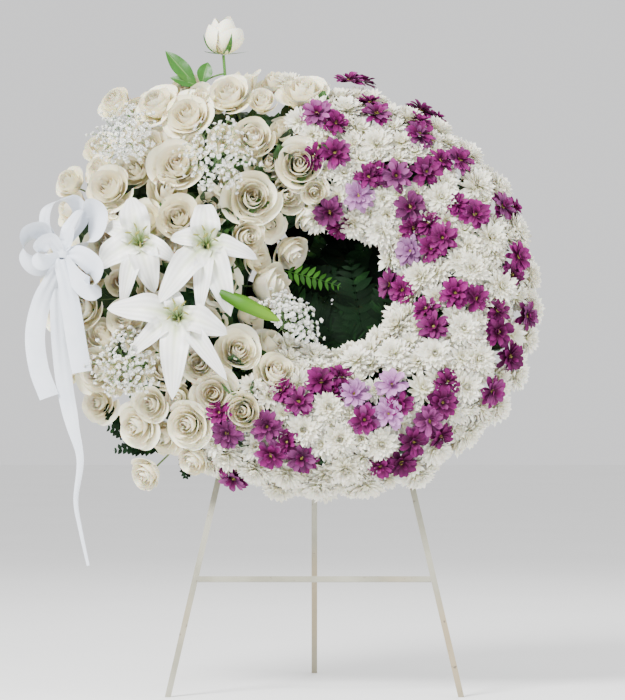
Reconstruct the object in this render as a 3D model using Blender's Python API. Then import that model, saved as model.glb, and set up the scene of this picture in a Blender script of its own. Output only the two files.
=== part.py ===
"""A funeral wreath of roses, lilies and chrysanthemums, carried by a folding steel easel.

Metres, +Z up, the flowers face -Y. The origin is on the floor under the middle of the whole object.
Places of blooms are read off a front view on which one pixel is PIXEL metres.
"""
import math
import random

import bmesh
import bpy
import numpy as np
from mathutils import Matrix, Vector

PIXEL = 0.0015
RING_PX = (331, 291)
FLOOR_PX = (314.5, 699)
ORIGIN_SHIFT = Vector((0.0469, -0.1902, 0))

LEAN = math.radians(12)
RING_RADIUS = 0.1975
FOAM_HALF = 0.064
TRAY_HALF = 0.067
TRAY_RIM = 0.022
WALL = 0.0025
GAP = 0.0003
RING_STEPS = 26
MID_DEPTH = 0.06

INNER_REACH = 0.112
OUTER_REACH = 0.110
ROSE_BULGE = 0.135
SIDE_DEPTH = 0.035
DOME_RISE = 0.090

ROSE_BASE = 0.55
MUM_RADIUS = 0.0325
DAISY_RADIUS = 0.0275
BLOOM_CLEAR = 0.0006
LEAST_ROOM = 0.002
DROPS = {"mum": 0.0185, "daisy": 0.0262, "rose": 0.0235}
NECK_TOP = 0.0022
NECK_FOOT = 0.0034
MUM_SPACING = 0.047
STEM = 0.0019
TWIG = 0.0013
TWIG_ROOM = 0.0050
ROOT_DEPTH = 0.022
SPRAY_COUNT = 7

BAR = 0.009
FOOT_X = 0.2213
APEX_Z = 0.966
LEG_TOP_Z = 0.93
LOW_BAR_Z = 0.1755
CROSS_HALF = 0.00405
PEG_X = 0.06
PEG_HALF = 0.004
PEG_THICK = 0.006
REAR_FOOT_Y = 0.455
HINGE_Z = 0.895
HINGE_BACK = 0.020
PIN_RADIUS = 0.003
PIN_SIDES = 12

UP = Vector((0, 0, 1))
FRONT = Vector((0, -1, 0))
rng = random.Random(9)

# Photo pixels and radius in pixels of each rose, in the bunches that share a stem hole.
ROSES = {
    "roses_top_left": [(110, 95, 18), (152, 97, 22), (185, 110, 23)],
    "roses_top": [(227, 88, 22), (261, 97, 15), (303, 84, 23)],
    "roses_upper": [(252, 135, 22), (299, 162, 24), (315, 190, 14)],
    "roses_upper_left": [(175, 162, 24), (105, 185, 22), (64, 179, 16)],
    "roses_middle": [(252, 196, 26), (177, 217, 24), (246, 236, 19)],
    "roses_inner": [(292, 250, 19), (270, 285, 24)],
    "roses_left": [(104, 240, 21), (79, 308, 23), (122, 318, 18)],
    "roses_lower_inner": [(238, 350, 21), (276, 372, 21)],
    "roses_lower": [(199, 364, 18), (213, 394, 20), (243, 412, 22), (187, 425, 21)],
    "roses_lower_left": [(193, 460, 17), (150, 405, 17), (134, 427, 20), (145, 476, 17)],
    "roses_left_edge": [(97, 371, 22), (72, 345, 16)],
}
DAISIES = {
    "daisies_top": [(350, 77), (377, 113), (317, 113)],
    "daisies_upper_right": [(422, 108), (420, 134), (460, 160)],
    "daisies_upper_inner": [(335, 152), (360, 193), (330, 208)],
    "daisies_upper_middle": [(397, 175), (427, 172), (412, 206)],
    "daisies_right_edge": [(475, 215), (502, 207), (517, 257)],
    "daisies_right_inner": [(444, 238), (414, 250), (395, 284)],
    "daisies_right_middle": [(435, 328), (456, 294)],
    "daisies_right_outer": [(525, 315), (497, 332), (508, 356)],
    "daisies_lower_right": [(490, 390), (441, 402), (428, 420), (400, 460), (412, 440)],
    "daisies_lower_middle": [(392, 386), (354, 396), (364, 420), (388, 414)],
    "daisies_lower_inner": [(299, 403), (321, 384), (268, 426)],
    "daisies_bottom": [(302, 456), (272, 453), (235, 476), (228, 432)],
}
# Centre pixel, then the pixel and depth of each petal's tip.
LILIES = {
    "lily_left": [(140, 245), [(130, 198, 0.165), (106, 226, 0.15), (100, 262, 0.15), (122, 300, 0.155),
                               (152, 284, 0.165), (172, 256, 0.185)]],
    "lily_right": [(206, 247), [(204, 206, 0.165), (252, 254, 0.165), (229, 308, 0.172), (200, 308, 0.19),
                                (162, 296, 0.196), (176, 236, 0.178)]],
    "lily_lower": [(178, 320), [(173, 391, 0.172), (224, 373, 0.172), (112, 306, 0.166), (131, 352, 0.16),
                                (222, 329, 0.178), (172, 293, 0.17)]],
}
BABYS_BREATH = {
    "babys_breath_upper_left": ((129, 142), 30),
    "babys_breath_upper": ((219, 160), 36),
    "babys_breath_lower_left": ((132, 366), 32),
    "babys_breath_lower_inner": ((278, 332), 30),
}
FERNS_PX = [(98, 406), (104, 429), (111, 452), (184, 480)]


def clear_scene():
    for old in list(bpy.data.objects):
        bpy.data.objects.remove(old)


def material(name, colour, roughness, metallic=0.0):
    found = bpy.data.materials.get(name)
    if found:
        return found
    made = bpy.data.materials.new(name)
    made.use_nodes = True
    shader = made.node_tree.nodes["Principled BSDF"]
    shader.inputs["Base Color"].default_value = (*colour, 1)
    shader.inputs["Roughness"].default_value = roughness
    shader.inputs["Metallic"].default_value = metallic
    return made


def raw_object(name, points, faces, looks=None):
    """A mesh object with every face turned outwards."""
    mesh = bpy.data.meshes.new(name)
    mesh.from_pydata([tuple(p) for p in points], [], faces)
    work = bmesh.new()
    work.from_mesh(mesh)
    bmesh.ops.triangulate(work, faces=work.faces)
    bmesh.ops.recalc_face_normals(work, faces=work.faces)
    work.to_mesh(mesh)
    work.free()
    made = bpy.data.objects.new(name, mesh)
    bpy.context.scene.collection.objects.link(made)
    if looks:
        mesh.materials.append(looks)
    return made


def boolean(target, others, operation, solver):
    """The target joined with, or cut by, all the others at once; the others are then removed."""
    tools = bpy.data.collections.new(target.name + "_tools")
    bpy.context.scene.collection.children.link(tools)
    for other in others:
        bpy.context.scene.collection.objects.unlink(other)
        tools.objects.link(other)
    step = target.modifiers.new("join", "BOOLEAN")
    step.operation = operation
    step.operand_type = "COLLECTION"
    step.collection = tools
    step.solver = solver
    bpy.context.view_layer.update()
    graph = bpy.context.evaluated_depsgraph_get()
    result = bpy.data.meshes.new_from_object(target.evaluated_get(graph))
    target.modifiers.clear()
    target.data = result
    for other in others:
        bpy.data.objects.remove(other)
    bpy.data.collections.remove(tools)
    return target


def merged(parts):
    """Points and faces of several closed shapes as one list."""
    points, faces = [], []
    for some_points, some_faces in parts:
        start = len(points)
        points.extend(some_points)
        faces.extend([tuple(i + start for i in face) for face in some_faces])
    return points, faces


def rod(a, b, radius, sides=3, spin=0.0):
    """A straight bar with flat ends from a to b."""
    along = (b - a).normalized()
    side = along.orthogonal().normalized()
    over = along.cross(side)
    points, faces = [], []
    for end in (a, b):
        for k in range(sides):
            turn = 2 * math.pi * k / sides + spin
            points.append(end + radius * (math.cos(turn) * side + math.sin(turn) * over))
    faces.append(tuple(range(sides)))
    faces.append(tuple(range(2 * sides - 1, sides - 1, -1)))
    for k in range(sides):
        n = (k + 1) % sides
        faces.append((k, n, n + sides, k + sides))
    return points, faces


def box(low, high):
    points = [Vector((x, y, z)) for x in (low[0], high[0]) for y in (low[1], high[1])
              for z in (low[2], high[2])]
    faces = [(0, 1, 3, 2), (4, 6, 7, 5), (0, 4, 5, 1), (2, 3, 7, 6), (0, 2, 6, 4), (1, 5, 7, 3)]
    return points, faces


def ring_solid(section):
    """A closed section of (offset from the ring's radius, depth) carried round the ring."""
    points, faces, size = [], [], len(section)
    for k in range(RING_STEPS):
        turn = 2 * math.pi * k / RING_STEPS
        for offset, depth in section:
            reach = RING_RADIUS + offset
            points.append(Vector((reach * math.cos(turn), -depth, reach * math.sin(turn))))
        for j in range(size):
            a, b = k * size + j, k * size + (j + 1) % size
            c, d = ((k + 1) % RING_STEPS) * size + (j + 1) % size, ((k + 1) % RING_STEPS) * size + j
            faces.append((a, b, c, d))
    return points, faces


def outer_reach(turn):
    """How far the flowers stand out beyond the ring's radius: further on the side of the roses."""
    degrees = math.degrees(turn) % 360
    if not 90 < degrees < 240:
        return OUTER_REACH
    return OUTER_REACH + ROSE_BULGE * math.sin(math.pi * (degrees - 90) / 150) ** 0.8


def dome(x, z):
    """Depth of the flowers' domed surface over a point of the ring's plane, and the way it faces."""
    away = math.hypot(x, z)
    turn = math.atan2(z, x)
    reach = INNER_REACH if away < RING_RADIUS else outer_reach(turn)
    share = max(-1.0, min(1.0, (away - RING_RADIUS) / reach))
    crown = math.sqrt(1 - share * share)
    radial = Vector((math.cos(turn), 0, math.sin(turn)))
    facing = radial * share / reach + FRONT * max(crown, 0.42) / DOME_RISE
    return SIDE_DEPTH + DOME_RISE * crown, facing.normalized()


def in_plane(px, py, depth):
    """A point of the wreath's own space seen at a pixel of the front view, at a depth before its back."""
    x = (px - RING_PX[0]) * PIXEL
    z = ((RING_PX[1] - py) * PIXEL - (depth - MID_DEPTH) * math.sin(LEAN)) / math.cos(LEAN)
    return Vector((x, -depth, z))


def on_dome(px, py):
    """The point of the domed surface seen at a pixel, and the way it faces."""
    depth = MID_DEPTH
    for _ in range(6):
        spot = in_plane(px, py, depth)
        depth, facing = dome(spot.x, spot.z)
    return in_plane(px, py, depth), facing


class Site:
    """One bloom or stem head: where it is, which way it faces, how big it is, and its node."""

    def __init__(self, node, kind, centre, facing, radius):
        self.node, self.kind, self.centre, self.facing, self.radius = node, kind, centre, facing, radius
        self.planes = []

    def drop(self):
        return DROPS.get(self.kind, 0.012)

    def foot(self):
        """The middle of the neck's lower end, where its spray's twigs join it."""
        return self.centre - self.facing * self.drop()

    def twig_end(self):
        return self.foot() + self.facing * 0.002


def plan_sites():
    """Every head's site. Roses, daisies and lilies are placed by hand, and white mums fill the rest."""
    sites = []
    for node, roses in ROSES.items():
        for px, py, size in roses:
            centre, facing = on_dome(px, py)
            sites.append(Site(node, "rose", centre, facing, size * PIXEL))
    for node, daisies in DAISIES.items():
        for px, py in daisies:
            centre, facing = on_dome(px, py)
            sites.append(Site(node, "daisy", centre + facing * 0.002, facing, DAISY_RADIUS))
    for node, ((px, py), _) in LILIES.items():
        centre, facing = on_dome(px, py)
        sites.append(Site(node, "throat", centre, facing, 0.016))
    for node, ((px, py), _) in BABYS_BREATH.items():
        centre, facing = on_dome(px, py)
        sites.append(Site(node, "sprig", centre, facing, 0.009))
    centre, facing = on_dome(211, 286)
    sites.append(Site("lily_bud", "bud", centre, facing, 0.009))
    fixed = list(sites)
    whites = []
    for _ in range(9000):
        turn = math.radians(rng.uniform(-125, 99))
        share = math.sin(rng.uniform(-1.02, 1.57))
        reach = INNER_REACH if share < 0 else OUTER_REACH
        away = RING_RADIUS + share * reach
        x, z = away * math.cos(turn), away * math.sin(turn)
        depth, facing = dome(x, z)
        centre = Vector((x, -depth, z))
        near = all((centre - s.centre).length > (0.046 if s.kind == "rose" else 0.0405) for s in fixed)
        if near and all((centre - s.centre).length > MUM_SPACING for s in whites):
            whites.append(Site("", "mum", centre, facing, MUM_RADIUS))
    whites.sort(key=lambda s: math.atan2(s.centre.z, s.centre.x))
    for k, site in enumerate(whites):
        site.node = f"white_mums_{1 + k * SPRAY_COUNT // len(whites)}"
    sites += whites
    for site in sites:
        for other in sites:
            apart = (other.centre - site.centre).length
            if other is site or apart > 0.12:
                continue
            share = (apart ** 2 + site.radius ** 2 - other.radius ** 2) / (2 * apart)
            site.planes.append(((other.centre - site.centre) / apart, share - BLOOM_CLEAR / 2))
    return sites


def squeeze(site, offset):
    """The share of an offset that stays on the site's own side of its neighbours."""
    share = 1.0
    for normal, reach in site.planes:
        out = offset.dot(normal)
        if out > 1e-6:
            share = min(share, max(LEAST_ROOM, reach) / out)
    return share


def zip_rings(first, second):
    """Triangles between two closed rings, each a list of (turn share, point index) in rising order."""
    faces, i, j = [], 0, 0
    n, m = len(first), len(second)
    while i < n or j < m:
        next_i = first[(i + 1) % n][0] + (1 if i + 1 >= n else 0) if i < n else 9
        next_j = second[(j + 1) % m][0] + (1 if j + 1 >= m else 0) if j < m else 9
        if next_i <= next_j:
            faces.append((first[i % n][1], first[(i + 1) % n][1], second[j % m][1]))
            i += 1
        else:
            faces.append((first[i % n][1], second[(j + 1) % m][1], second[j % m][1]))
            j += 1
    return faces


def petal_ring(count, shift, profile):
    """A ring of petals: profile lists (share of the petal's turn, reach, rise) for one petal."""
    return [((k + shift + at) / count, reach, rise) for k in range(count) for at, reach, rise in profile]


def bloom(site, rings, base, top, spin):
    """A closed bloom: a thin neck from its foot up to its base, then rings of points round its axis."""
    side = site.facing.orthogonal().normalized()
    over = site.facing.cross(side)
    size = site.radius
    widest = [(max(p[1] for p in ring), max(p[2] for p in ring)) for ring in rings]
    foot = [(k / 3, NECK_FOOT / size, -site.drop() / size) for k in range(3)]
    neck = [(k / 3, NECK_TOP / size, base) for k in range(3)]
    points, index = [], []
    for ring in [foot, neck, *rings]:
        named = []
        for turn, reach, rise in sorted((t % 1, r, h) for t, r, h in ring):
            angle = 2 * math.pi * turn + spin
            out = math.cos(angle) * side + math.sin(angle) * over
            share = 1
            if ring not in (foot, neck):
                share = min(squeeze(site, size * (r * out + h * site.facing)) for r, h in widest)
            points.append(site.centre + share * size * (reach * out + rise * site.facing))
            named.append((turn, len(points) - 1))
        index.append(named)
    faces = []
    for first, second in zip(index, index[1:]):
        faces += zip_rings(first, second)
    points.append(site.centre + squeeze(site, size * top * site.facing) * size * top * site.facing)
    crown = index[-1]
    for k in range(len(crown)):
        faces.append((crown[k][1], crown[(k + 1) % len(crown)][1], len(points) - 1))
    faces.append((0, 1, 2))
    return points, faces


def rose(site, spin):
    """Five cupped outer petals, five inner ones turned between them, and a furled heart."""
    rings = [
        petal_ring(5, 0, [(0.5, 0.52, -0.42)]),
        petal_ring(5, 0.5, [(0.5, 0.9, -0.12)]),
        petal_ring(5, 0, [(0, 0.8, 0.06), (0.5, 1.0, 0.2)]),
        petal_ring(5, 0, [(0.5, 0.74, -0.02)]),
        petal_ring(5, 0.5, [(0, 0.56, 0.22), (0.5, 0.7, 0.42)]),
        petal_ring(5, 0.5, [(0.5, 0.46, 0.14)]),
        petal_ring(5, 0, [(0.5, 0.34, 0.5)]),
    ]
    return bloom(site, rings, -ROSE_BASE, 0.26, spin)


def mum(site, spin):
    """Eight narrow outer petals and six inner ones round a low centre."""
    rings = [
        petal_ring(8, 0, [(0, 0.56, -0.12), (0.5, 1.0, 0.04)]),
        petal_ring(6, 0, [(0, 0.5, 0.1)]),
        petal_ring(6, 0, [(0, 0.36, 0.2), (0.5, 0.68, 0.42)]),
    ]
    return bloom(site, rings, -0.42, 0.16, spin)


def daisy(site, spin):
    """Seven blunt petals round a domed eye."""
    rings = [
        petal_ring(7, 0, [(0, 0.42, -0.05), (0.3, 0.98, 0.1), (0.7, 0.98, 0.1)]),
        petal_ring(7, 0, [(0.5, 0.26, 0.1)]),
    ]
    return bloom(site, rings, -0.36, 0.3, spin)


def foam_surface(spot):
    """The nearest point of the foam's outside to a spot, and the way into the foam from there."""
    turn = math.atan2(spot.z, spot.x)
    radial = Vector((math.cos(turn), 0, math.sin(turn)))
    core = radial * RING_RADIUS + FRONT * 0.042
    away = (spot - core) - (spot - core).dot(radial.cross(FRONT)) * radial.cross(FRONT)
    share = 1 / math.hypot(away.dot(radial) / FOAM_HALF, away.dot(FRONT) / 0.047)
    return core + away * share, -away.normalized()


holes = []


def add_root(head, mouth, inward, depth=ROOT_DEPTH):
    """A stem from a head through its hole's mouth into the foam, and the hole that it stands in."""
    foot = mouth + inward * depth
    direction = (head - foot).normalized()
    holes.append(rod(foot - direction * 0.0006, foot + direction * (depth + 0.02), STEM + 0.0006))
    return rod(foot, head, STEM)


def segment_gap(a, b, c, d):
    """About the least distance between two straight stretches a-b and c-d."""
    share = np.linspace(0, 1, 15)[:, None]
    first = np.array(a) * (1 - share) + np.array(b) * share
    second = np.array(c) * (1 - share) + np.array(d) * share
    return float(np.linalg.norm(first[:, None] - second[None], axis=2).min())


stems_laid = []


FOAM_TOP = 0.0925
FOAM_ROUNDNESS = 2.6


def in_foam(spot):
    """Whether a spot is in, or just above, the foam's rounded section."""
    offset = (math.hypot(spot.x, spot.z) - RING_RADIUS) / (FOAM_HALF + 0.003)
    return abs(offset) ** FOAM_ROUNDNESS + abs(spot.y / FOAM_TOP) ** FOAM_ROUNDNESS < 1


def clear_of_others(node, a, b):
    return all(own == node or segment_gap(a, b, c, d) > TWIG_ROOM for own, c, d in stems_laid)


def clear_twig(node, a, b):
    """Whether a twig a-b keeps out of the foam and clear of the other sprays' stems."""
    return clear_of_others(node, a, b) and not any(in_foam(a.lerp(b, k / 12)) for k in range(13))


def main_stem_cost(site):
    """The way from a head's foot to the foam, made dear where another spray's stem is in it."""
    mouth = foam_surface(site.foot())[0]
    length = (site.foot() - mouth).length
    return length if clear_of_others(site.node, site.foot(), mouth) else length + 1


def twigs(sites):
    """The shortest set of straight twigs that joins one spray's heads, clear of other sprays' stems."""
    node = sites[0].node
    cost = {}
    for a in sites:
        for b in sites:
            if a is not b:
                length = (a.twig_end() - b.twig_end()).length
                cost[a, b] = length if clear_twig(node, a.twig_end(), b.twig_end()) else length + 1
    joined, left, found = [sites[0]], list(sites[1:]), []
    while left:
        near, far = min(((a, b) for a in joined for b in left), key=lambda pair: cost[pair])
        found.append((near, far))
        stems_laid.append((node, near.twig_end(), far.twig_end()))
        joined.append(far)
        left.remove(far)
    return found


def flower_node(name, sites, maker, looks):
    """One spray: its blooms, the twigs between their necks, and one main stem in the foam."""
    node = raw_object(name, *merged([maker(s, rng.uniform(0, 6.28)) for s in sites]), looks)
    nearest = min(sites, key=main_stem_cost)
    mouth, inward = foam_surface(nearest.foot())
    stems_laid.append((nearest.node, nearest.foot(), mouth))
    stems = [add_root(nearest.foot() + nearest.facing * 0.001, mouth, inward)]
    for a, b in twigs(sites):
        stems.append(rod(a.twig_end(), b.twig_end(), TWIG))
    return boolean(node, [raw_object("stem", *s) for s in stems], "UNION", "MANIFOLD")


def bezier(a, b, c, share):
    return a * (1 - share) ** 2 + b * 2 * share * (1 - share) + c * share ** 2


def blade(a, b, c, width, thick, steps, face, peak=0.45, root=0.3):
    """A leaf or petal of diamond section along a curve a-b-c, widest at peak, ending in a point."""
    points, faces = [], []
    for k in range(steps):
        share = k / steps
        here = bezier(a, b, c, share)
        along = (bezier(a, b, c, share + 0.01) - here).normalized()
        side = along.cross(face).normalized()
        up = side.cross(along).normalized()
        swell = root + (1 - root) * math.sin(math.pi / 2 * min(1, share / peak)) if share < peak else \
            math.cos(math.pi / 2 * (share - peak) / (1 - peak)) ** 0.7
        half = width / 2 * swell
        points += [here - side * half, here + up * thick / 2, here + side * half, here - up * thick / 2]
    points.append(c)
    for k in range(steps - 1):
        for j in range(4):
            n = (j + 1) % 4
            faces.append((4 * k + j, 4 * k + n, 4 * k + 4 + n, 4 * k + 4 + j))
    last = 4 * (steps - 1)
    faces += [(last + j, last + (j + 1) % 4, len(points) - 1) for j in range(4)]
    faces.append((0, 1, 2, 3))
    return points, faces


def frond(a, b, c, width, teeth, bare=0.2, thick=0.0012, face=FRONT):
    """A fern frond: one thin arched blade whose outline is cut into leaflets down to the rib."""
    points, faces = [], []
    rows = []
    for k in range(teeth + 2):
        share = 0 if k == 0 else bare + (1 - bare) * (k - 1) / teeth
        here = bezier(a, b, c, share)
        along = (bezier(a, b, c, share + 0.01) - bezier(a, b, c, share - 0.01)).normalized()
        side = along.cross(face).normalized()
        up = side.cross(along).normalized()
        half = 0.0018 * (1 - 0.6 * share)
        row = []
        for layer in (0.5, -0.5):
            for s in (-1, 1):
                points.append(here + side * half * s + up * thick * layer)
                row.append(len(points) - 1)
        rows.append((row, here, along, side, up, share))
    for k in range(teeth + 1):
        (row, here, along, side, up, share), (after, there, *_rest) = rows[k], rows[k + 1]
        if k == 0:
            for i, j in ((0, 1), (1, 3), (3, 2), (2, 0)):
                faces.append((row[i], row[j], after[j], after[i]))
            continue
        reach = width / 2 * math.sin(math.pi * min(0.96, 0.16 + 0.8 * share)) + 0.003
        middle = (here + there) / 2 + along * reach * 0.45
        faces += [(row[0], row[1], after[1], after[0]), (row[3], row[2], after[2], after[3])]
        for s, top, low in ((-1, 0, 2), (1, 1, 3)):
            tips = []
            for layer in (0.3, -0.3):
                points.append(middle + side * s * reach + up * thick * layer)
                tips.append(len(points) - 1)
            faces += [(row[top], after[top], tips[0]), (row[low], after[low], tips[1])]
            faces += [(row[top], tips[0], tips[1], row[low]), (after[top], tips[0], tips[1], after[low])]
    for row in (rows[0][0], rows[-1][0]):
        faces.append((row[0], row[1], row[3], row[2]))
    return points, faces


def lily(name, looks):
    """Six tapered petals that rise from a narrow throat and arch outwards, on a stem in the foam."""
    tips = LILIES[name][1]
    site = next(s for s in SITES if s.node == name)
    axis = (FRONT * 0.8 + site.facing * 0.2).normalized()
    throat = site.centre + site.facing * 0.006
    rim = throat + axis * 0.034
    parts = []
    for k, (px, py, depth) in enumerate(tips):
        tip = in_plane(px, py, depth)
        out = tip - rim - (tip - rim).dot(axis) * axis
        out.normalize()
        back = 0.004 * (k % 2)
        root = rim + out * 0.0065 - axis * (0.004 + back)
        lift = rim + axis * (0.034 - back) + out * 0.024
        face = (axis - out * 0.35).normalized()
        parts.append(blade(root, lift, tip, 0.036 - 0.009 * (k % 2), 0.0024, 4, face, 0.5, 0.24))
    cup, faces = [], []
    for share, size in ((0, 0.0028), (0.75, 0.0085), (1.0, 0.0085), (0.85, 0.003)):
        side = axis.orthogonal().normalized()
        over = axis.cross(side)
        for j in range(6):
            turn = math.pi * j / 3
            spoke = math.cos(turn) * side + math.sin(turn) * over
            cup.append(throat + (rim - throat) * share + size * spoke)
    for j in range(3):
        for k in range(6):
            n = (k + 1) % 6
            faces.append((6 * j + k, 6 * j + n, 6 * j + 6 + n, 6 * j + 6 + k))
    faces += [tuple(range(6)), tuple(range(18, 24))]
    parts.append((cup, faces))
    mouth, inward = foam_surface(throat)
    parts.append(add_root(throat + axis * 0.003, mouth, inward))
    return fused(name, parts, looks)


def babys_breath(name, looks):
    """A fine main stem with side stems that flare into small white florets over the blooms."""
    spread = BABYS_BREATH[name][1] * PIXEL
    site = next(s for s in SITES if s.node == name)
    side = site.facing.orthogonal().normalized()
    over = site.facing.cross(side)
    top = site.centre + site.facing * 0.03
    mouth, inward = foam_surface(site.centre)
    parts = [add_root(top, mouth, inward)]
    golden = math.pi * (3 - math.sqrt(5))
    count = 9
    for k in range(count):
        away = spread * math.sqrt((k + 0.6) / count)
        turn = golden * k + rng.uniform(-0.2, 0.2)
        out = math.cos(turn) * side + math.sin(turn) * over
        start = top - (top - mouth).normalized() * (0.002 + 0.0012 * k)
        spot = site.centre + away * out + site.facing * (0.047 - 0.2 * away + rng.uniform(-0.003, 0.003))
        along = (spot - start).normalized()
        first = along.orthogonal().normalized()
        second = along.cross(first)
        points = [start + along * 0.0005]
        for reach, rise, sides in ((0.0009, 0.001, 3), (0.0009, (spot - start).length - 0.004, 3)):
            points += [start + along * rise + reach * (math.cos(2 * math.pi * j / sides) * first
                       + math.sin(2 * math.pi * j / sides) * second) for j in range(sides)]
        for j in range(6):
            reach = 0.0066 if j % 2 else 0.0038
            turn = math.pi * j / 3
            spoke = math.cos(turn) * first + math.sin(turn) * second
            points.append(spot + reach * spoke + along * (0.002 if j % 2 else 0))
        points.append(spot + along * 0.0022)
        faces = [(0, 1 + j, 1 + (j + 1) % 3) for j in range(3)]
        faces += [(1 + j, 1 + (j + 1) % 3, 4 + (j + 1) % 3, 4 + j) for j in range(3)]
        faces += zip_rings([(j / 3, 4 + j) for j in range(3)], [(j / 6, 7 + j) for j in range(6)])
        faces += [(7 + j, 7 + (j + 1) % 6, 13) for j in range(6)]
        parts.append((points, faces))
    return fused(name, parts, looks)


def fused(name, shapes, looks):
    """Several overlapping shapes as one closed body."""
    made = [raw_object(name + "_part" + str(k), *s) for k, s in enumerate(shapes)]
    made[0].name = name
    made[0].data.materials.append(looks)
    return boolean(made[0], made[1:], "UNION", "MANIFOLD") if len(made) > 1 else made[0]


def lily_bud(looks):
    """A long green bud that lies over the roses, on its own stem."""
    start, end = in_plane(213, 289, 0.166), in_plane(280, 321, 0.172)
    rings = [(0.0, 0.0025), (0.12, 0.007), (0.45, 0.0115), (0.8, 0.0085), (0.97, 0.003)]
    side = (end - start).orthogonal().normalized()
    over = (end - start).normalized().cross(side)
    points, faces = [], []
    for share, size in rings:
        for k in range(6):
            turn = math.pi * k / 3
            points.append(start.lerp(end, share) + size * (math.cos(turn) * side + math.sin(turn) * over))
    for j in range(len(rings) - 1):
        for k in range(6):
            n = (k + 1) % 6
            faces.append((6 * j + k, 6 * j + n, 6 * j + 6 + n, 6 * j + 6 + k))
    faces += [tuple(range(6)), tuple(range(len(points) - 6, len(points)))]
    site = next(s for s in SITES if s.node == "lily_bud")
    mouth, inward = foam_surface(site.centre)
    neck = start.lerp(end, 0.06)
    return fused("lily_bud", [(points, faces), rod(site.centre, neck, STEM, 3),
                              add_root(site.centre + site.facing * 0.001, mouth, inward)], looks)


def top_rosebud(white, green):
    """One rosebud high above the ring, on a stem with three leaves."""
    head = in_plane(221, 31, 0.075)
    facing = (UP * 0.9 + FRONT * 0.35).normalized()
    site = Site("top_rosebud", "rose", head, facing, 0.031)
    raw_object("top_rosebud", *rose(site, 0.3), white)
    low = site.foot() - facing * (GAP + 0.0004)
    bend = in_plane(223, 72, 0.062)
    mouth, inward = foam_surface(in_plane(233, 132, 0.03))
    shapes = [rod(bend - (low - bend).normalized() * 0.002, low, STEM), add_root(bend, mouth, inward)]
    fork = in_plane(222, 66, 0.064)
    twig_end = in_plane(193, 80, 0.06)
    shapes.append(rod(fork, twig_end, STEM))
    for share, tip in ((0.55, (203, 52)), (0.78, (172, 74)), (0.98, (163, 47))):
        start = fork.lerp(twig_end, share)
        top = in_plane(*tip, 0.062)
        middle = (start + top) / 2 + FRONT * 0.006
        shapes.append(blade(start, middle, top, 0.02, 0.0018, 5, FRONT, 0.45, 0.12))
    return fused("top_rose_stem", shapes, green)


def ferns(looks):
    """Dark fronds that stick out under the roses at the lower left, one beside the other on one stem."""
    root, outer = in_plane(206, 432, 0.028), in_plane(150, 447, 0.026)
    mouth, inward = foam_surface(in_plane(228, 402, 0.024))
    shapes = [add_root(root, mouth, inward), rod(root - (outer - root).normalized() * 0.001, outer, STEM)]
    for k, (px, py) in enumerate(FERNS_PX):
        start = root.lerp(outer, (0.95, 0.75, 0.5, 0.2)[k])
        tip = in_plane(px, py, 0.030 + 0.003 * k)
        shapes.append(frond(start, (start + tip) / 2 + FRONT * 0.004, tip, 0.026, 6, 0.25))
    return fused("fern_lower_left", shapes, looks)


def hole_ferns(number, turn, looks):
    """A fan of fronds rooted in the foam's inner wall that covers a third of the hole's back."""
    depth = 0.0035 + 0.0075 * number
    radial = Vector((math.cos(turn), 0, math.sin(turn)))
    across = Vector((-math.sin(turn), 0, math.cos(turn)))
    inner = RING_RADIUS - FOAM_HALF
    mouth = radial * inner + FRONT * 0.0285
    neck = radial * (inner - 0.007) + FRONT * 0.0285
    fork = radial * (inner - 0.014) + FRONT * depth
    shapes = [add_root(neck, mouth, radial), rod(neck - (fork - neck).normalized() * 0.001, fork, STEM)]
    for k, swing in enumerate((-19, 19)):
        way = -radial * math.cos(math.radians(swing)) + across * math.sin(math.radians(swing))
        start = fork - way * 0.0012
        tip = start + way * 0.17 + FRONT * (0.004 * k)
        shapes.append(frond(start, (start + tip) / 2 + FRONT * 0.003 * k, tip, 0.088, 7, 0.16, 0.0011))
    return fused(f"fern_behind_hole_{number + 1}", shapes, looks)


def backing_leaves(looks):
    """A leafy stem behind the roses, rooted in the foam's outer wall."""
    root, outer = in_plane(140, 256, 0.027), in_plane(88, 248, 0.020)
    mouth, inward = foam_surface(in_plane(150, 258, 0.026))
    shapes = [add_root(root, mouth, inward), rod(root - (outer - root).normalized() * 0.001, outer, STEM)]
    places = ((0.95, (60, 214)), (0.8, (68, 296)), (0.5, (88, 146)), (0.2, (94, 352)))
    for share, (px, py) in places:
        start, tip = root.lerp(outer, share), in_plane(px, py, 0.018)
        middle = (start + tip) / 2 + FRONT * 0.006
        shapes.append(blade(start, middle, tip, 0.05, 0.002, 5, FRONT, 0.5, 0.06))
    return fused("backing_leaves", shapes, looks)


def strip(route, width, thick, across):
    """A ribbon of even width along a route; across gives its width's direction at each point."""
    points, faces = [], []
    for k, spot in enumerate(route):
        before, after = route[max(0, k - 1)], route[min(len(route) - 1, k + 1)]
        along = (after - before).normalized()
        side = (across[k] - across[k].dot(along) * along).normalized()
        up = along.cross(side)
        half = width[k] / 2 if isinstance(width, list) else width / 2
        for s, u in ((-1, 1), (1, 1), (1, -1), (-1, -1)):
            points.append(spot + side * half * s + up * thick / 2 * u)
    for k in range(len(route) - 1):
        for j in range(4):
            n = (j + 1) % 4
            faces.append((4 * k + j, 4 * k + n, 4 * k + 4 + n, 4 * k + 4 + j))
    faces.append((0, 1, 2, 3))
    faces.append(tuple(range(len(points) - 4, len(points))))
    return points, faces


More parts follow.
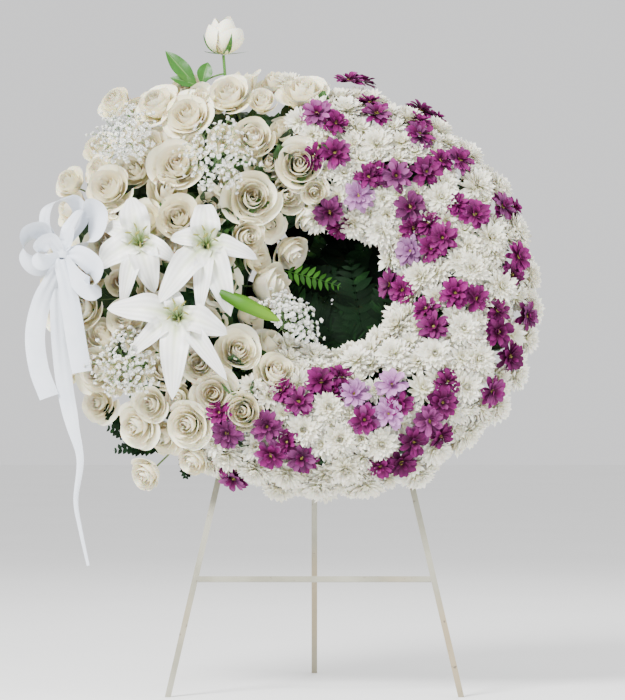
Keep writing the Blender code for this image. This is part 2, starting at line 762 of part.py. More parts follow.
def ribbon(looks):
    """The bow, with its knot's wire in the foam, and its three hanging tails."""
    knot = in_plane(60, 250, 0.142)
    knot_half = Vector((0.013, 0.008, 0.016))
    shapes = [box(knot - knot_half, knot + knot_half)]
    loops = {
        "left": [(60, 246, .142), (44, 236, .154), (27, 240, .150), (25, 256, .138), (40, 262, .130),
                 (60, 254, .142)],
        "upper": [(60, 250, .142), (50, 228, .154), (54, 208, .152), (74, 204, .140), (78, 226, .132),
                  (62, 248, .142)],
    }
    for name, spots in loops.items():
        route = [in_plane(*s) for s in spots]
        across = [Vector((0.1, -0.75, 0.6)) if name == "left" else Vector((0.6, -0.75, 0.1))] * len(route)
        shapes.append(strip(route, 0.03, 0.0012, across))
    mouth, inward = foam_surface(in_plane(150, 262, 0.04))
    low = in_plane(100, 262, 0.052)
    shapes.append(rod(knot, low, STEM, 3))
    shapes.append(add_root(low - (mouth - low).normalized() * 0.001, mouth, inward))
    fused("ribbon_bow", shapes, looks)
    tails = {
        "ribbon_tail_left": (0.0, 0.030, [
            (50, 282, .134), (40, 304, .126), (34, 335, .120), (38, 368, .116), (49, 397, .114)]),
        "ribbon_tail_short": (-0.005, 0.030, [
            (66, 284, .142), (71, 310, .138), (76, 342, .130), (82, 372, .126)]),
        "ribbon_tail_long": (0.005, 0.027, [
            (57, 284, .126), (58, 330, .112), (64, 385, .106), (72, 425, .102), (80, 460, .098),
            (76, 500, .094), (81, 530, .09), (89, 565, .086)]),
    }
    tapering = {4: 0.027, 5: 0.024, 6: 0.017, 7: 0.010, 8: 0.007, 9: 0.004}
    for name, (back, width, spots) in tails.items():
        head = knot + Vector((0, back, -knot_half.z - GAP))
        route = [head, head - UP * 0.006] + [in_plane(*s) for s in spots]
        wide = [0.020, 0.022] + [width] * len(spots)
        if name == "ribbon_tail_long":
            wide = [tapering.get(k, w) for k, w in enumerate(wide)]
        across = [Vector((1, 0, 0))] * 2 + [Vector((1, 0.15, 0))] * len(spots)
        raw_object(name, *strip(route, wide, 0.0012, across), looks)


def leaning(y_offset, z):
    """A point of the easel's leaning front plane: its Y at a height."""
    return z * math.tan(LEAN) + y_offset


def front_leg(name, side, looks):
    """A square bar from the floor up to the head plate; its foot is cut level with the floor."""
    top_x = side * FOOT_X * (1 - LEG_TOP_Z / APEX_Z)
    points = []
    for x, z in ((side * FOOT_X, 0.0), (top_x, LEG_TOP_Z)):
        for dx, dy in ((-1, -1), (1, -1), (1, 1), (-1, 1)):
            points.append(Vector((x + dx * BAR / 2, leaning(BAR / 2, z) + dy * BAR / 2, z)))
    faces = [(3, 2, 1, 0), (4, 5, 6, 7)] + [(k, (k + 1) % 4, (k + 1) % 4 + 4, k + 4) for k in range(4)]
    return raw_object(name, points, faces, looks)


def cross_bar(name, z, looks):
    """A bar between the inner faces of the front legs, its section square to the leaning frame."""
    up = Vector((0, math.sin(LEAN), math.cos(LEAN))) * CROSS_HALF
    back = Vector((0, math.cos(LEAN), -math.sin(LEAN))) * CROSS_HALF
    points = []
    for side in (-1, 1):
        for dz, dy in ((-1, -1), (1, -1), (1, 1), (-1, 1)):
            spot = Vector((0, leaning(BAR / 2, z), z)) + dz * up + dy * back
            spot.x = side * (FOOT_X * (1 - spot.z / APEX_Z) - BAR / 2 - GAP)
            points.append(spot)
    faces = [(3, 2, 1, 0), (4, 5, 6, 7)] + [(k, (k + 1) % 4, (k + 1) % 4 + 4, k + 4) for k in range(4)]
    return raw_object(name, points, faces, looks)


EAR_APART = 0.0095
EAR_THICK = 0.003
EAR_HALF = 0.010
PIN_HALF = 0.014
EYE_HALF = 0.0072
EYE_RADIUS = 0.0078


def head_and_hinge(looks, steel):
    """The head plate behind the legs, its two ears, the pin, and the rear leg that folds on it."""
    turned = Matrix.Rotation(-LEAN, 3, "X")
    home = Vector((0, leaning(0, HINGE_Z), HINGE_Z))

    def placed(shape):
        points, faces = shape
        return [home + turned @ p for p in points], faces

    face_y = BAR * math.cos(LEAN) + GAP
    plate = placed(box((-0.030, face_y, -0.035), (0.030, face_y + 0.003, 0.033)))
    ears = []
    for middle in (-EAR_APART, EAR_APART):
        low = (middle - EAR_THICK / 2, face_y + 0.0025, -EAR_HALF)
        high = (middle + EAR_THICK / 2, face_y + 0.028, EAR_HALF)
        ears.append(placed(box(low, high)))
    pin_y = face_y + HINGE_BACK
    plate_body = fused("head_plate", [plate, *ears], looks)
    bore = placed(rod(Vector((-0.02, pin_y, 0)), Vector((0.02, pin_y, 0)), PIN_RADIUS + GAP, PIN_SIDES))
    boolean(plate_body, [raw_object("bore", *bore)], "DIFFERENCE", "EXACT")
    pin = rod(Vector((-PIN_HALF, pin_y, 0)), Vector((PIN_HALF, pin_y, 0)), PIN_RADIUS, PIN_SIDES)
    raw_object("hinge_pin", *placed(pin), steel)
    pivot = home + turned @ Vector((0, pin_y, 0))
    foot = Vector((0, REAR_FOOT_Y, 0))
    along = (foot - pivot).normalized()
    over = Vector((1, 0, 0)).cross(along)
    points = []
    for end in (pivot + along * 0.004, foot):
        for dx, dy in ((-1, -1), (1, -1), (1, 1), (-1, 1)):
            corner = end + Vector((dx * BAR / 2, 0, 0)) + over * dy * BAR / 2
            if end is foot:
                corner -= along * (corner.z / along.z)
            points.append(corner)
    faces = [(3, 2, 1, 0), (4, 5, 6, 7)] + [(k, (k + 1) % 4, (k + 1) % 4 + 4, k + 4) for k in range(4)]
    eye = rod(pivot - Vector((EYE_HALF, 0, 0)), pivot + Vector((EYE_HALF, 0, 0)), EYE_RADIUS, PIN_SIDES)
    leg = fused("rear_leg", [(points, faces), eye], looks)
    hole = rod(pivot - Vector((0.02, 0, 0)), pivot + Vector((0.02, 0, 0)), PIN_RADIUS + GAP, PIN_SIDES)
    boolean(leg, [raw_object("bore", *hole)], "DIFFERENCE", "EXACT")
    move_origin(leg, pivot)
    print("hinge", tuple(round(v, 5) for v in pivot + ORIGIN_SHIFT))


def move_origin(made, spot):
    """Puts an object's origin at a spot without moving its shape."""
    made.data.transform(Matrix.Translation(-spot))
    made.location = spot


clear_scene()
cream = material("cream_petals", (0.93, 0.86, 0.72), 0.6)
white = material("white_petals", (0.92, 0.92, 0.86), 0.6)
purple = material("purple_petals", (0.42, 0.02, 0.28), 0.6)
lily_white = material("lily_petals", (0.94, 0.95, 0.9), 0.5)
bud_green = material("bud_green", (0.35, 0.55, 0.12), 0.5)
leaf_green = material("leaf_green", (0.05, 0.16, 0.05), 0.5)
satin = material("satin", (0.9, 0.91, 0.93), 0.4)
foam_green = material("foam", (0.06, 0.2, 0.09), 0.9)
tray_green = material("tray", (0.02, 0.07, 0.03), 0.5)
paint = material("painted_steel", (0.52, 0.52, 0.42), 0.45, 0.3)
pin_steel = material("pin_steel", (0.5, 0.5, 0.5), 0.35, 1.0)

SITES = plan_sites()
for site in SITES:
    stems_laid.append((site.node, site.foot(), site.centre - site.facing * site.radius * 0.3))
MAKERS = {"rose": (rose, cream), "mum": (mum, white), "daisy": (daisy, purple)}
for node in dict.fromkeys(s.node for s in SITES):
    group = [s for s in SITES if s.node == node]
    kind = group[0].kind
    if kind in MAKERS:
        maker, looks = MAKERS[kind]
        flower_node(node, group, maker, looks)
for node in LILIES:
    lily(node, lily_white)
for node in BABYS_BREATH:
    babys_breath(node, white)
lily_bud(bud_green)
top_rosebud(cream, leaf_green)
ferns(leaf_green)
for number, turn in enumerate((1.0, 3.1, 5.2)):
    hole_ferns(number, turn, leaf_green)
backing_leaves(leaf_green)
ribbon(satin)

foam_back = WALL + GAP + 0.0004
foam_section = [
    (-FOAM_HALF, foam_back), (-FOAM_HALF, 0.045), (-0.056, 0.066), (-0.036, 0.082), (-0.012, 0.089),
    (0.012, 0.089), (0.036, 0.082), (0.056, 0.066), (FOAM_HALF, 0.045), (FOAM_HALF, foam_back)]
foam = raw_object("foam_ring", *ring_solid(foam_section), foam_green)
boolean(foam, [raw_object("hole", *h) for h in holes], "DIFFERENCE", "MANIFOLD")
inner_wall = TRAY_HALF - WALL
tray = raw_object("tray", *ring_solid([
    (-TRAY_HALF, 0), (-TRAY_HALF, TRAY_RIM), (-inner_wall, TRAY_RIM), (-inner_wall, WALL),
    (inner_wall, WALL), (inner_wall, TRAY_RIM), (TRAY_HALF, TRAY_RIM), (TRAY_HALF, 0)]), tray_green)

RING_X = (RING_PX[0] - FLOOR_PX[0]) * PIXEL
RING_Z = (FLOOR_PX[1] - RING_PX[1]) * PIXEL - MID_DEPTH * math.sin(LEAN)
wreath = bpy.data.objects.new("wreath_place", None)
bpy.context.scene.collection.objects.link(wreath)
wreath.rotation_euler = (-LEAN, 0, 0)
wreath.location = Vector((RING_X, leaning(0, RING_Z) - GAP / math.cos(LEAN), RING_Z)) + ORIGIN_SHIFT
for made in list(bpy.context.scene.objects):
    if made.type == "MESH":
        made.parent = wreath

easel = bpy.data.objects.new("easel_place", None)
bpy.context.scene.collection.objects.link(easel)
easel.location = ORIGIN_SHIFT
on_wreath = set(bpy.context.scene.objects)
front_leg("front_leg_left", -1, paint)
front_leg("front_leg_right", 1, paint)
cross_bar("crossbar_lower", LOW_BAR_Z, paint)
head_and_hinge(paint, pin_steel)
facet = math.tau / RING_STEPS
rim = (RING_RADIUS + TRAY_HALF) * math.cos(facet / 2)
peg_top = -(rim - (PEG_X - PEG_HALF) * math.sin(facet)) / math.cos(facet) - GAP
bar_drop = peg_top - PEG_THICK - GAP - CROSS_HALF - (BAR / 2 + GAP / math.cos(LEAN)) * math.sin(LEAN)
cross_bar("crossbar_upper", RING_Z + bar_drop * math.cos(LEAN), paint)
for name, x in (("rest_peg_left", -PEG_X), ("rest_peg_right", PEG_X)):
    place = Matrix.Translation(wreath.location - ORIGIN_SHIFT) @ Matrix.Rotation(-LEAN, 4, "X")
    points, faces = box((x - PEG_HALF, -0.020, peg_top - PEG_THICK), (x + PEG_HALF, 0.0085, peg_top))
    raw_object(name, [place @ p for p in points], faces, paint)
for made in list(bpy.context.scene.objects):
    if made not in on_wreath:
        made.parent = easel
bpy.context.view_layer.update()
print(len(SITES), "heads,", sum(s.kind == "mum" for s in SITES), "white mums")
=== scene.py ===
# %% [markdown]
# # A funeral wreath on its easel
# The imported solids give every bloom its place. Here they get their real petals, leaves and colours.

# %% Load the frame
import math
import random
import bpy
import numpy as np
from mathutils import Matrix, Vector


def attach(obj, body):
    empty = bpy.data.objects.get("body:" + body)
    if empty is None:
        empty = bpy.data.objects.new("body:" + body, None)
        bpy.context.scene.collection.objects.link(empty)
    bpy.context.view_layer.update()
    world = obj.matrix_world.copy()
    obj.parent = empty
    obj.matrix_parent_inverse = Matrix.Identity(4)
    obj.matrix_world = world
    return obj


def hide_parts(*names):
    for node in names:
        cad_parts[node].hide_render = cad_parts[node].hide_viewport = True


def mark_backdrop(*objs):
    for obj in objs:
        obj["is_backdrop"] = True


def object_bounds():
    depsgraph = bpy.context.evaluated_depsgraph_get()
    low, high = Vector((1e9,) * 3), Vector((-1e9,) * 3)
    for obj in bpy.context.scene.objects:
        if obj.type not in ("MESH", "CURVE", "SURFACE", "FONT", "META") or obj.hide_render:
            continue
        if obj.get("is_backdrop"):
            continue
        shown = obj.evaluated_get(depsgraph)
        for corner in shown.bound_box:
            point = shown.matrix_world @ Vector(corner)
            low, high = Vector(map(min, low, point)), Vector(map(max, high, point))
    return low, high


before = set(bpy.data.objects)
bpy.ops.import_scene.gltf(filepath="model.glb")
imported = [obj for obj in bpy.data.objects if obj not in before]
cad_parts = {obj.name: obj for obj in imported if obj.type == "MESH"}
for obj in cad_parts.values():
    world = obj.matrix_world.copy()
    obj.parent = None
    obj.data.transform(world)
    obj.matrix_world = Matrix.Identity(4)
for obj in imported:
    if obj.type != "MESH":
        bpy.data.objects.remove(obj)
cad_box = [list(corner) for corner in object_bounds()]
BODY = "easel_and_wreath"
print(len(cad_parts), "solids in the box", [[round(v, 3) for v in corner] for corner in cad_box])

# %% [markdown]
# ## Where every flower stands
# The wreath is planned flat, in its own space, from pixels of the front view. `on_dome` lifts a
# pixel onto the domed surface of the flowers. The same seeded darts as in the solids fill the ring
# with white chrysanthemums, so that every bloom here covers its own solid.

# %% Sizes of the wreath
PIXEL = 0.0015
RING_PX = (331, 291)
FLOOR_PX = (314.5, 699)
ORIGIN_SHIFT = Vector((0.0469, -0.1902, 0))
LEAN = math.radians(12)
RING_RADIUS = 0.1975
FOAM_HALF = 0.064
GAP = 0.0003
MID_DEPTH = 0.06
INNER_REACH = 0.112
OUTER_REACH = 0.110
ROSE_BULGE = 0.135
SIDE_DEPTH = 0.035
DOME_RISE = 0.090
MUM_RADIUS = 0.0325
DAISY_RADIUS = 0.0275
MUM_SPACING = 0.047
BLOOM_CLEAR = 0.0006
DROPS = {"mum": 0.0185, "daisy": 0.0262, "rose": 0.0235}
GOLDEN = math.pi * (3 - math.sqrt(5))
UP = Vector((0, 0, 1))
FRONT = Vector((0, -1, 0))
rng = random.Random(9)
noise = np.random.default_rng(4)

# %% Photo places of the flowers
ROSES = {
    "roses_top_left": [(110, 95, 18), (152, 97, 22), (185, 110, 23)],
    "roses_top": [(227, 88, 22), (261, 97, 15), (303, 84, 23)],
    "roses_upper": [(252, 135, 22), (299, 162, 24), (315, 190, 14)],
    "roses_upper_left": [(175, 162, 24), (105, 185, 22), (64, 179, 16)],
    "roses_middle": [(252, 196, 26), (177, 217, 24), (246, 236, 19)],
    "roses_inner": [(292, 250, 19), (270, 285, 24)],
    "roses_left": [(104, 240, 21), (79, 308, 23), (122, 318, 18)],
    "roses_lower_inner": [(238, 350, 21), (276, 372, 21)],
    "roses_lower": [(199, 364, 18), (213, 394, 20), (243, 412, 22), (187, 425, 21)],
    "roses_lower_left": [(193, 460, 17), (150, 405, 17), (134, 427, 20), (145, 476, 17)],
    "roses_left_edge": [(97, 371, 22), (72, 345, 16)],
}
DAISIES = {
    "daisies_top": [(350, 77), (377, 113), (317, 113)],
    "daisies_upper_right": [(422, 108), (420, 134), (460, 160)],
    "daisies_upper_inner": [(335, 152), (360, 193), (330, 208)],
    "daisies_upper_middle": [(397, 175), (427, 172), (412, 206)],
    "daisies_right_edge": [(475, 215), (502, 207), (517, 257)],
    "daisies_right_inner": [(444, 238), (414, 250), (395, 284)],
    "daisies_right_middle": [(435, 328), (456, 294)],
    "daisies_right_outer": [(525, 315), (497, 332), (508, 356)],
    "daisies_lower_right": [(490, 390), (441, 402), (428, 420), (400, 460), (412, 440)],
    "daisies_lower_middle": [(392, 386), (354, 396), (364, 420), (388, 414)],
    "daisies_lower_inner": [(299, 403), (321, 384), (268, 426)],
    "daisies_bottom": [(302, 456), (272, 453), (235, 476), (228, 432)],
}
LILIES = {
    "lily_left": [(140, 245), [(130, 198, 0.165), (106, 226, 0.15), (100, 262, 0.15), (122, 300, 0.155),
                               (152, 284, 0.165), (172, 256, 0.185)]],
    "lily_right": [(206, 247), [(204, 206, 0.165), (252, 254, 0.165), (229, 308, 0.172), (200, 308, 0.19),
                                (162, 296, 0.196), (176, 236, 0.178)]],
    "lily_lower": [(178, 320), [(173, 391, 0.172), (224, 373, 0.172), (112, 306, 0.166), (131, 352, 0.16),
                                (222, 329, 0.178), (172, 293, 0.17)]],
}
BABYS_BREATH = {
    "babys_breath_upper_left": ((129, 142), 30),
    "babys_breath_upper": ((219, 160), 36),
    "babys_breath_lower_left": ((132, 366), 32),
    "babys_breath_lower_inner": ((278, 332), 30),
}
LILY_BUD_PX = (211, 286)
FERN_TIPS_PX = [(98, 406), (104, 429), (111, 452), (184, 480)]
PALE_DAISIES = [(392, 386), (354, 396), (388, 414), (360, 193), (414, 250)]


# %% The domed surface and the sites
def outer_reach(turn):
    """How far the flowers stand out beyond the ring's radius: further on the side of the roses."""
    degrees = math.degrees(turn) % 360
    if not 90 < degrees < 240:
        return OUTER_REACH
    return OUTER_REACH + ROSE_BULGE * math.sin(math.pi * (degrees - 90) / 150) ** 0.8


def dome(x, z):
    """Depth of the domed surface, an ellipse over the ring's width, and the way that it faces."""
    away = math.hypot(x, z)
    turn = math.atan2(z, x)
    reach = INNER_REACH if away < RING_RADIUS else outer_reach(turn)
    share = max(-1.0, min(1.0, (away - RING_RADIUS) / reach))
    crown = math.sqrt(1 - share * share)
    radial = Vector((math.cos(turn), 0, math.sin(turn)))
    facing = radial * share / reach + FRONT * max(crown, 0.42) / DOME_RISE
    return SIDE_DEPTH + DOME_RISE * crown, facing.normalized()


def in_plane(px, py, depth):
    """A point of the wreath's own space seen at a pixel of the front view, at a depth before its back."""
    x = (px - RING_PX[0]) * PIXEL
    z = ((RING_PX[1] - py) * PIXEL - (depth - MID_DEPTH) * math.sin(LEAN)) / math.cos(LEAN)
    return Vector((x, -depth, z))


def on_dome(px, py):
    """The point of the domed surface seen at a pixel, and the way it faces."""
    depth = MID_DEPTH
    for _ in range(6):
        spot = in_plane(px, py, depth)
        depth, facing = dome(spot.x, spot.z)
    return in_plane(px, py, depth), facing


class Site:
    """One flower head: where it is, which way it faces, its radius, and its neighbours' planes."""

    def __init__(self, node, kind, centre, facing, radius, pixel=None):
        self.node, self.kind, self.centre, self.facing, self.radius = node, kind, centre, facing, radius
        self.pixel = pixel
        self.planes = []

    def foot(self):
        """Where the stem meets the head, below its centre."""
        return self.centre - self.facing * DROPS.get(self.kind, 0.012)


def plan_sites():
    """Roses, daisies, lilies and sprigs have listed places; seeded darts of white mums fill the rest."""
    sites = []
    for node, roses in ROSES.items():
        for px, py, size in roses:
            sites.append(Site(node, "rose", *on_dome(px, py), size * PIXEL, (px, py)))
    for node, daisies in DAISIES.items():
        for px, py in daisies:
            centre, facing = on_dome(px, py)
            sites.append(Site(node, "daisy", centre + facing * 0.002, facing, DAISY_RADIUS, (px, py)))
    for node, ((px, py), _) in LILIES.items():
        sites.append(Site(node, "throat", *on_dome(px, py), 0.016))
    for node, ((px, py), _) in BABYS_BREATH.items():
        sites.append(Site(node, "sprig", *on_dome(px, py), 0.009))
    sites.append(Site("lily_bud", "bud", *on_dome(*LILY_BUD_PX), 0.009))
    fixed = list(sites)
    whites = []
    for _ in range(9000):
        turn = math.radians(rng.uniform(-125, 99))
        share = math.sin(rng.uniform(-1.02, 1.57))
        reach = INNER_REACH if share < 0 else OUTER_REACH
        away = RING_RADIUS + share * reach
        x, z = away * math.cos(turn), away * math.sin(turn)
        depth, facing = dome(x, z)
        centre = Vector((x, -depth, z))
        near = all((centre - s.centre).length > (0.046 if s.kind == "rose" else 0.0405) for s in fixed)
        if near and all((centre - s.centre).length > MUM_SPACING for s in whites):
            whites.append(Site("", "mum", centre, facing, MUM_RADIUS))
    sites += whites
    for site in sites:
        for other in sites:
            apart = (other.centre - site.centre).length
            if other is site or apart > 0.12:
                continue
            share = (apart ** 2 + site.radius ** 2 - other.radius ** 2) / (2 * apart)
            site.planes.append(((other.centre - site.centre) / apart, share - BLOOM_CLEAR / 2))
    return sites


SITES = plan_sites()
print(len(SITES), "flower heads,", sum(s.kind == "mum" for s in SITES), "of them white chrysanthemums")

# %% [markdown]
# ## Sheets of points
# Every petal and leaf is a small grid of points. Each function below makes all the petals of all the
# blooms at once, as one array of shape (petal, row, column, 3), and `add_piece` turns it into a mesh.

# %% Grids to meshes
RING_X = (RING_PX[0] - FLOOR_PX[0]) * PIXEL
RING_Z = (FLOOR_PX[1] - RING_PX[1]) * PIXEL - MID_DEPTH * math.sin(LEAN)
WREATH_AT = Vector((RING_X, RING_Z * math.tan(LEAN) - GAP / math.cos(LEAN), RING_Z)) + ORIGIN_SHIFT
WREATH_PLACE = Matrix.Translation(WREATH_AT) @ Matrix.Rotation(-LEAN, 4, "X")


def unit(a):
    """Each vector of an array divided by its own length."""
    return a / np.maximum(np.linalg.norm(a, axis=-1, keepdims=True), 1e-9)


def smooth(x):
    """0 below 0, 1 above 1, and an S-shaped curve between."""
    x = np.clip(x, 0, 1)
    return x * x * (3 - 2 * x)


def grid_faces(count, rows, cols, wrap=False):
    """The quads of `count` grids; with wrap, each grid's last column joins its first."""
    last = cols if wrap else cols - 1
    r, c = np.meshgrid(np.arange(rows - 1), np.arange(last), indexing="ij")
    n = (c + 1) % cols
    one = np.stack([r * cols + c, r * cols + n, (r + 1) * cols + n, (r + 1) * cols + c], -1)
    one = one.reshape(-1, 4)
    return (one[None] + (np.arange(count) * rows * cols)[:, None, None]).reshape(-1, 4)


def build_mesh(name, points, faces, marks, smooth_shaded=True):
    """A mesh from whole arrays of points and quads; marks are values kept at its points."""
    mesh = bpy.data.meshes.new(name)
    mesh.vertices.add(len(points))
    mesh.vertices.foreach_set("co", points.astype(np.float32).ravel())
    mesh.loops.add(faces.size)
    mesh.loops.foreach_set("vertex_index", faces.astype(np.int32).ravel())
    mesh.polygons.add(len(faces))
    mesh.polygons.foreach_set("loop_start", np.arange(len(faces), dtype=np.int32) * faces.shape[1])
    mesh.polygons.foreach_set("use_smooth", np.full(len(faces), smooth_shaded))
    for mark, values in marks.items():
        layer = mesh.attributes.new(mark, "FLOAT", "POINT")
        layer.data.foreach_set("value", np.ascontiguousarray(values, dtype=np.float32).ravel())
    mesh.update()
    mesh.validate()
    return mesh


MARKS = ("along", "across", "tone", "kind")


def add_piece(name, parts, looks, replaced=(), on_wreath=True, smooth_shaded=True):
    """One piece from several (points, faces, marks) parts, set on the easel and shown for its solids."""
    points, faces, marks, start = [], [], {mark: [] for mark in MARKS}, 0
    for some_points, some_faces, some_marks in parts:
        flat = some_points.reshape(-1, 3)
        points.append(flat)
        faces.append(some_faces + start)
        start += len(flat)
        for mark in MARKS:
            value = np.asarray(some_marks.get(mark, 0.0), float)
            marks[mark].append(np.broadcast_to(value, some_points.shape[:-1]).reshape(-1))
    points = np.concatenate(points)
    if on_wreath:
        turn = np.array(WREATH_PLACE.to_3x3())
        points = points @ turn.T + np.array(WREATH_PLACE.translation)
    mesh = build_mesh(name, points, np.concatenate(faces),
                      {mark: np.concatenate(value) for mark, value in marks.items()}, smooth_shaded)
    made = bpy.data.objects.new(name, mesh)
    bpy.context.scene.collection.objects.link(made)
    mesh.materials.append(looks)
    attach(made, BODY)
    if replaced:
        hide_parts(*replaced)
    print(name, len(mesh.polygons), "faces")
    return made


def bloom_frames(sites):
    """Centres, facings and two directions across each bloom, as arrays with a row for each bloom."""
    centre = np.array([s.centre for s in sites])
    facing = np.array([s.facing for s in sites])
    side = unit(np.cross(facing, np.where(abs(facing[:, 2:]) < 0.9, [[0.0, 0, 1]], [[1.0, 0, 0]])))
    return centre, facing, side, np.cross(facing, side)


def cell_share(sites, owner, offset, ease=1.05):
    """For offsets from each owner's centre, the share that stays on its side of its neighbours."""
    share = np.ones(offset.shape[:-1])
    for k, site in enumerate(sites):
        mine = owner == k
        if not mine.any() or not site.planes:
            continue
        normal = np.array([p[0] for p in site.planes])
        reach = np.maximum(0.002, np.array([p[1] for p in site.planes])) * ease
        out = offset[mine] @ normal.T
        share[mine] = np.min(np.where(out > 1e-6, reach / np.maximum(out, 1e-6), 9.0), axis=-1).clip(0, 1)
    return share


def swell(v, root, peak, tip):
    """Half-width of a petal or leaf at the share v of its length. It rises as a quarter sine from root
    to 1 at peak, and falls as a quarter cosine to the power of tip: the higher, the sharper the end."""
    rise = root + (1 - root) * np.sin(np.pi / 2 * np.minimum(1, v / peak))
    fall = np.cos(np.pi / 2 * np.clip((v - peak) / (1 - peak), 0, 1)) ** tip
    return np.where(v < peak, rise, fall)


def petal_grid(base, out, up, length, start, end, width, cup, form, rows, cols):
    """Petals whose midline turns evenly from the angle start to end above `out`, with cupped edges.

    A point is base + out * sum(cos a) + up * sum(sin a) along the midline, plus the side direction
    times half the width times u, plus the petal's own normal times cup * u^2 times half the width."""
    v = np.linspace(0, 1, rows)
    u = np.linspace(-1, 1, cols)
    angle = start[:, None] + (end - start)[:, None] * v
    middle = (angle[:, 1:] + angle[:, :-1]) / 2
    step = length[:, None] / (rows - 1)
    run = np.concatenate([np.zeros((len(base), 1)), np.cumsum(np.cos(middle) * step, 1)], 1)
    rise = np.concatenate([np.zeros((len(base), 1)), np.cumsum(np.sin(middle) * step, 1)], 1)
    line = base[:, None] + out[:, None] * run[..., None] + up[:, None] * rise[..., None]
    normal = up[:, None] * np.cos(angle)[..., None] - out[:, None] * np.sin(angle)[..., None]
    side = np.cross(out, up)
    half = width[:, None] / 2 * swell(v, *form)
    return (line[:, :, None] + side[:, None, None] * (half[..., None] * u)[..., None]
            + normal[:, :, None] * (cup[:, None, None] * half[..., None] * u ** 2)[..., None])


def marks_of(count, rows, cols, tone, kind=0.0):
    """The values that colour a petal: along and across it, its own tone, and its kind."""
    v = np.linspace(0, 1, rows)[None, :, None]
    u = np.linspace(-1, 1, cols)[None, None, :]
    shape = (count, rows, cols)
    full = lambda a: np.broadcast_to(a, shape)
    tone = np.broadcast_to(tone, (count,))[:, None, None]
    kind = np.broadcast_to(kind, (count,))[:, None, None]
    return {"along": full(v), "across": full(u), "tone": full(tone), "kind": full(kind)}


# %% [markdown]
# ## Colours
# A petal's colour depends on where a point lies along it, and on the petal's own tone. Thin petals let
# some light through, so that the flowers glow a little from inside.

# %% Materials
def ramp_node(tree, stops):
    """A colour ramp with the given (place, colour) stops."""
    node = tree.nodes.new("ShaderNodeValToRGB")
    ramp = node.color_ramp
    while len(ramp.elements) < len(stops):
        ramp.elements.new(0.5)
    for element, (place, colour) in zip(ramp.elements, stops):
        element.position = place
        element.color = (*colour, 1)
    return node


def attribute_node(tree, name):
    """One of the values kept at the mesh's points."""
    node = tree.nodes.new("ShaderNodeAttribute")
    node.attribute_name = name
    return node.outputs["Fac"]


def noise_node(tree, scale, detail=3.0):
    """Cloudy values from 0 to 1 in the object's own space."""
    node = tree.nodes.new("ShaderNodeTexNoise")
    node.inputs["Scale"].default_value = scale
    node.inputs["Detail"].default_value = detail
    place = tree.nodes.new("ShaderNodeTexCoord")
    tree.links.new(place.outputs["Object"], node.inputs["Vector"])
    return node.outputs["Fac"]


def math_node(tree, operation, a, b=0.0):
    """A sum, product or other function of one or two values or sockets."""
    node = tree.nodes.new("ShaderNodeMath")
    node.operation = operation
    for socket, value in zip(node.inputs, (a, b)):
        if isinstance(value, (int, float)):
            socket.default_value = value
        else:
            tree.links.new(value, socket)
    return node.outputs[0]


def mix_node(tree, factor, a, b, blend="MIX"):
    """Two colours or sockets blended by a factor."""
    node = tree.nodes.new("ShaderNodeMix")
    node.data_type = "RGBA"
    node.blend_type = blend
    for socket, value in ((node.inputs[0], factor), (node.inputs[6], a), (node.inputs[7], b)):
        if isinstance(value, (int, float)):
            socket.default_value = value
        elif isinstance(value, tuple):
            socket.default_value = (*value, 1)
        else:
            tree.links.new(value, socket)
    return node.outputs[2]


def new_material(name):
    """A material, its node tree and its shader."""
    made = bpy.data.materials.new(name)
    made.use_nodes = True
    return made, made.node_tree, made.node_tree.nodes["Principled BSDF"]


def add_bump(tree, shader, height, strength, distance):
    """Fine relief from a height socket."""
    bump = tree.nodes.new("ShaderNodeBump")
    bump.inputs["Strength"].default_value = strength
    bump.inputs["Distance"].default_value = distance
    tree.links.new(height, bump.inputs["Height"])
    tree.links.new(bump.outputs["Normal"], shader.inputs["Normal"])


def petal_material(name, stops, dark, light, vein=0.0, rough=0.5, through=0.12, kinds=None, sheen=0.1,
                   gloss=0.5):
    """Colour along the petal from stops, shaded by its tone, with fine lengthwise veins and some glow.
    The mark `kind` blends it towards a second row of stops, kinds."""
    made, tree, shader = new_material(name)
    along = attribute_node(tree, "along")
    base = ramp_node(tree, stops)
    tree.links.new(along, base.inputs["Fac"])
    colour = base.outputs["Color"]
    if kinds:
        other = ramp_node(tree, kinds)
        tree.links.new(along, other.inputs["Fac"])
        colour = mix_node(tree, attribute_node(tree, "kind"), colour, other.outputs["Color"])
    tone = ramp_node(tree, [(0.0, dark), (1.0, light)])
    tree.links.new(attribute_node(tree, "tone"), tone.inputs["Fac"])
    colour = mix_node(tree, 1.0, colour, tone.outputs["Color"], "MULTIPLY")
    if vein:
        wave = math_node(tree, "SINE", math_node(tree, "MULTIPLY", attribute_node(tree, "across"), 16.0))
        shade = math_node(tree, "MULTIPLY", math_node(tree, "ADD", wave, 1.0), vein)
        colour = mix_node(tree, shade, colour, (0.25, 0.25, 0.2), "MULTIPLY")
    tree.links.new(colour, shader.inputs["Base Color"])
    shader.inputs["Roughness"].default_value = rough
    shader.inputs["Subsurface Weight"].default_value = through
    shader.inputs["Subsurface Radius"].default_value = (0.006, 0.004, 0.002)
    shader.inputs["Subsurface Scale"].default_value = 0.4
    shader.inputs["Sheen Weight"].default_value = sheen
    shader.inputs["Specular IOR Level"].default_value = gloss
    return made


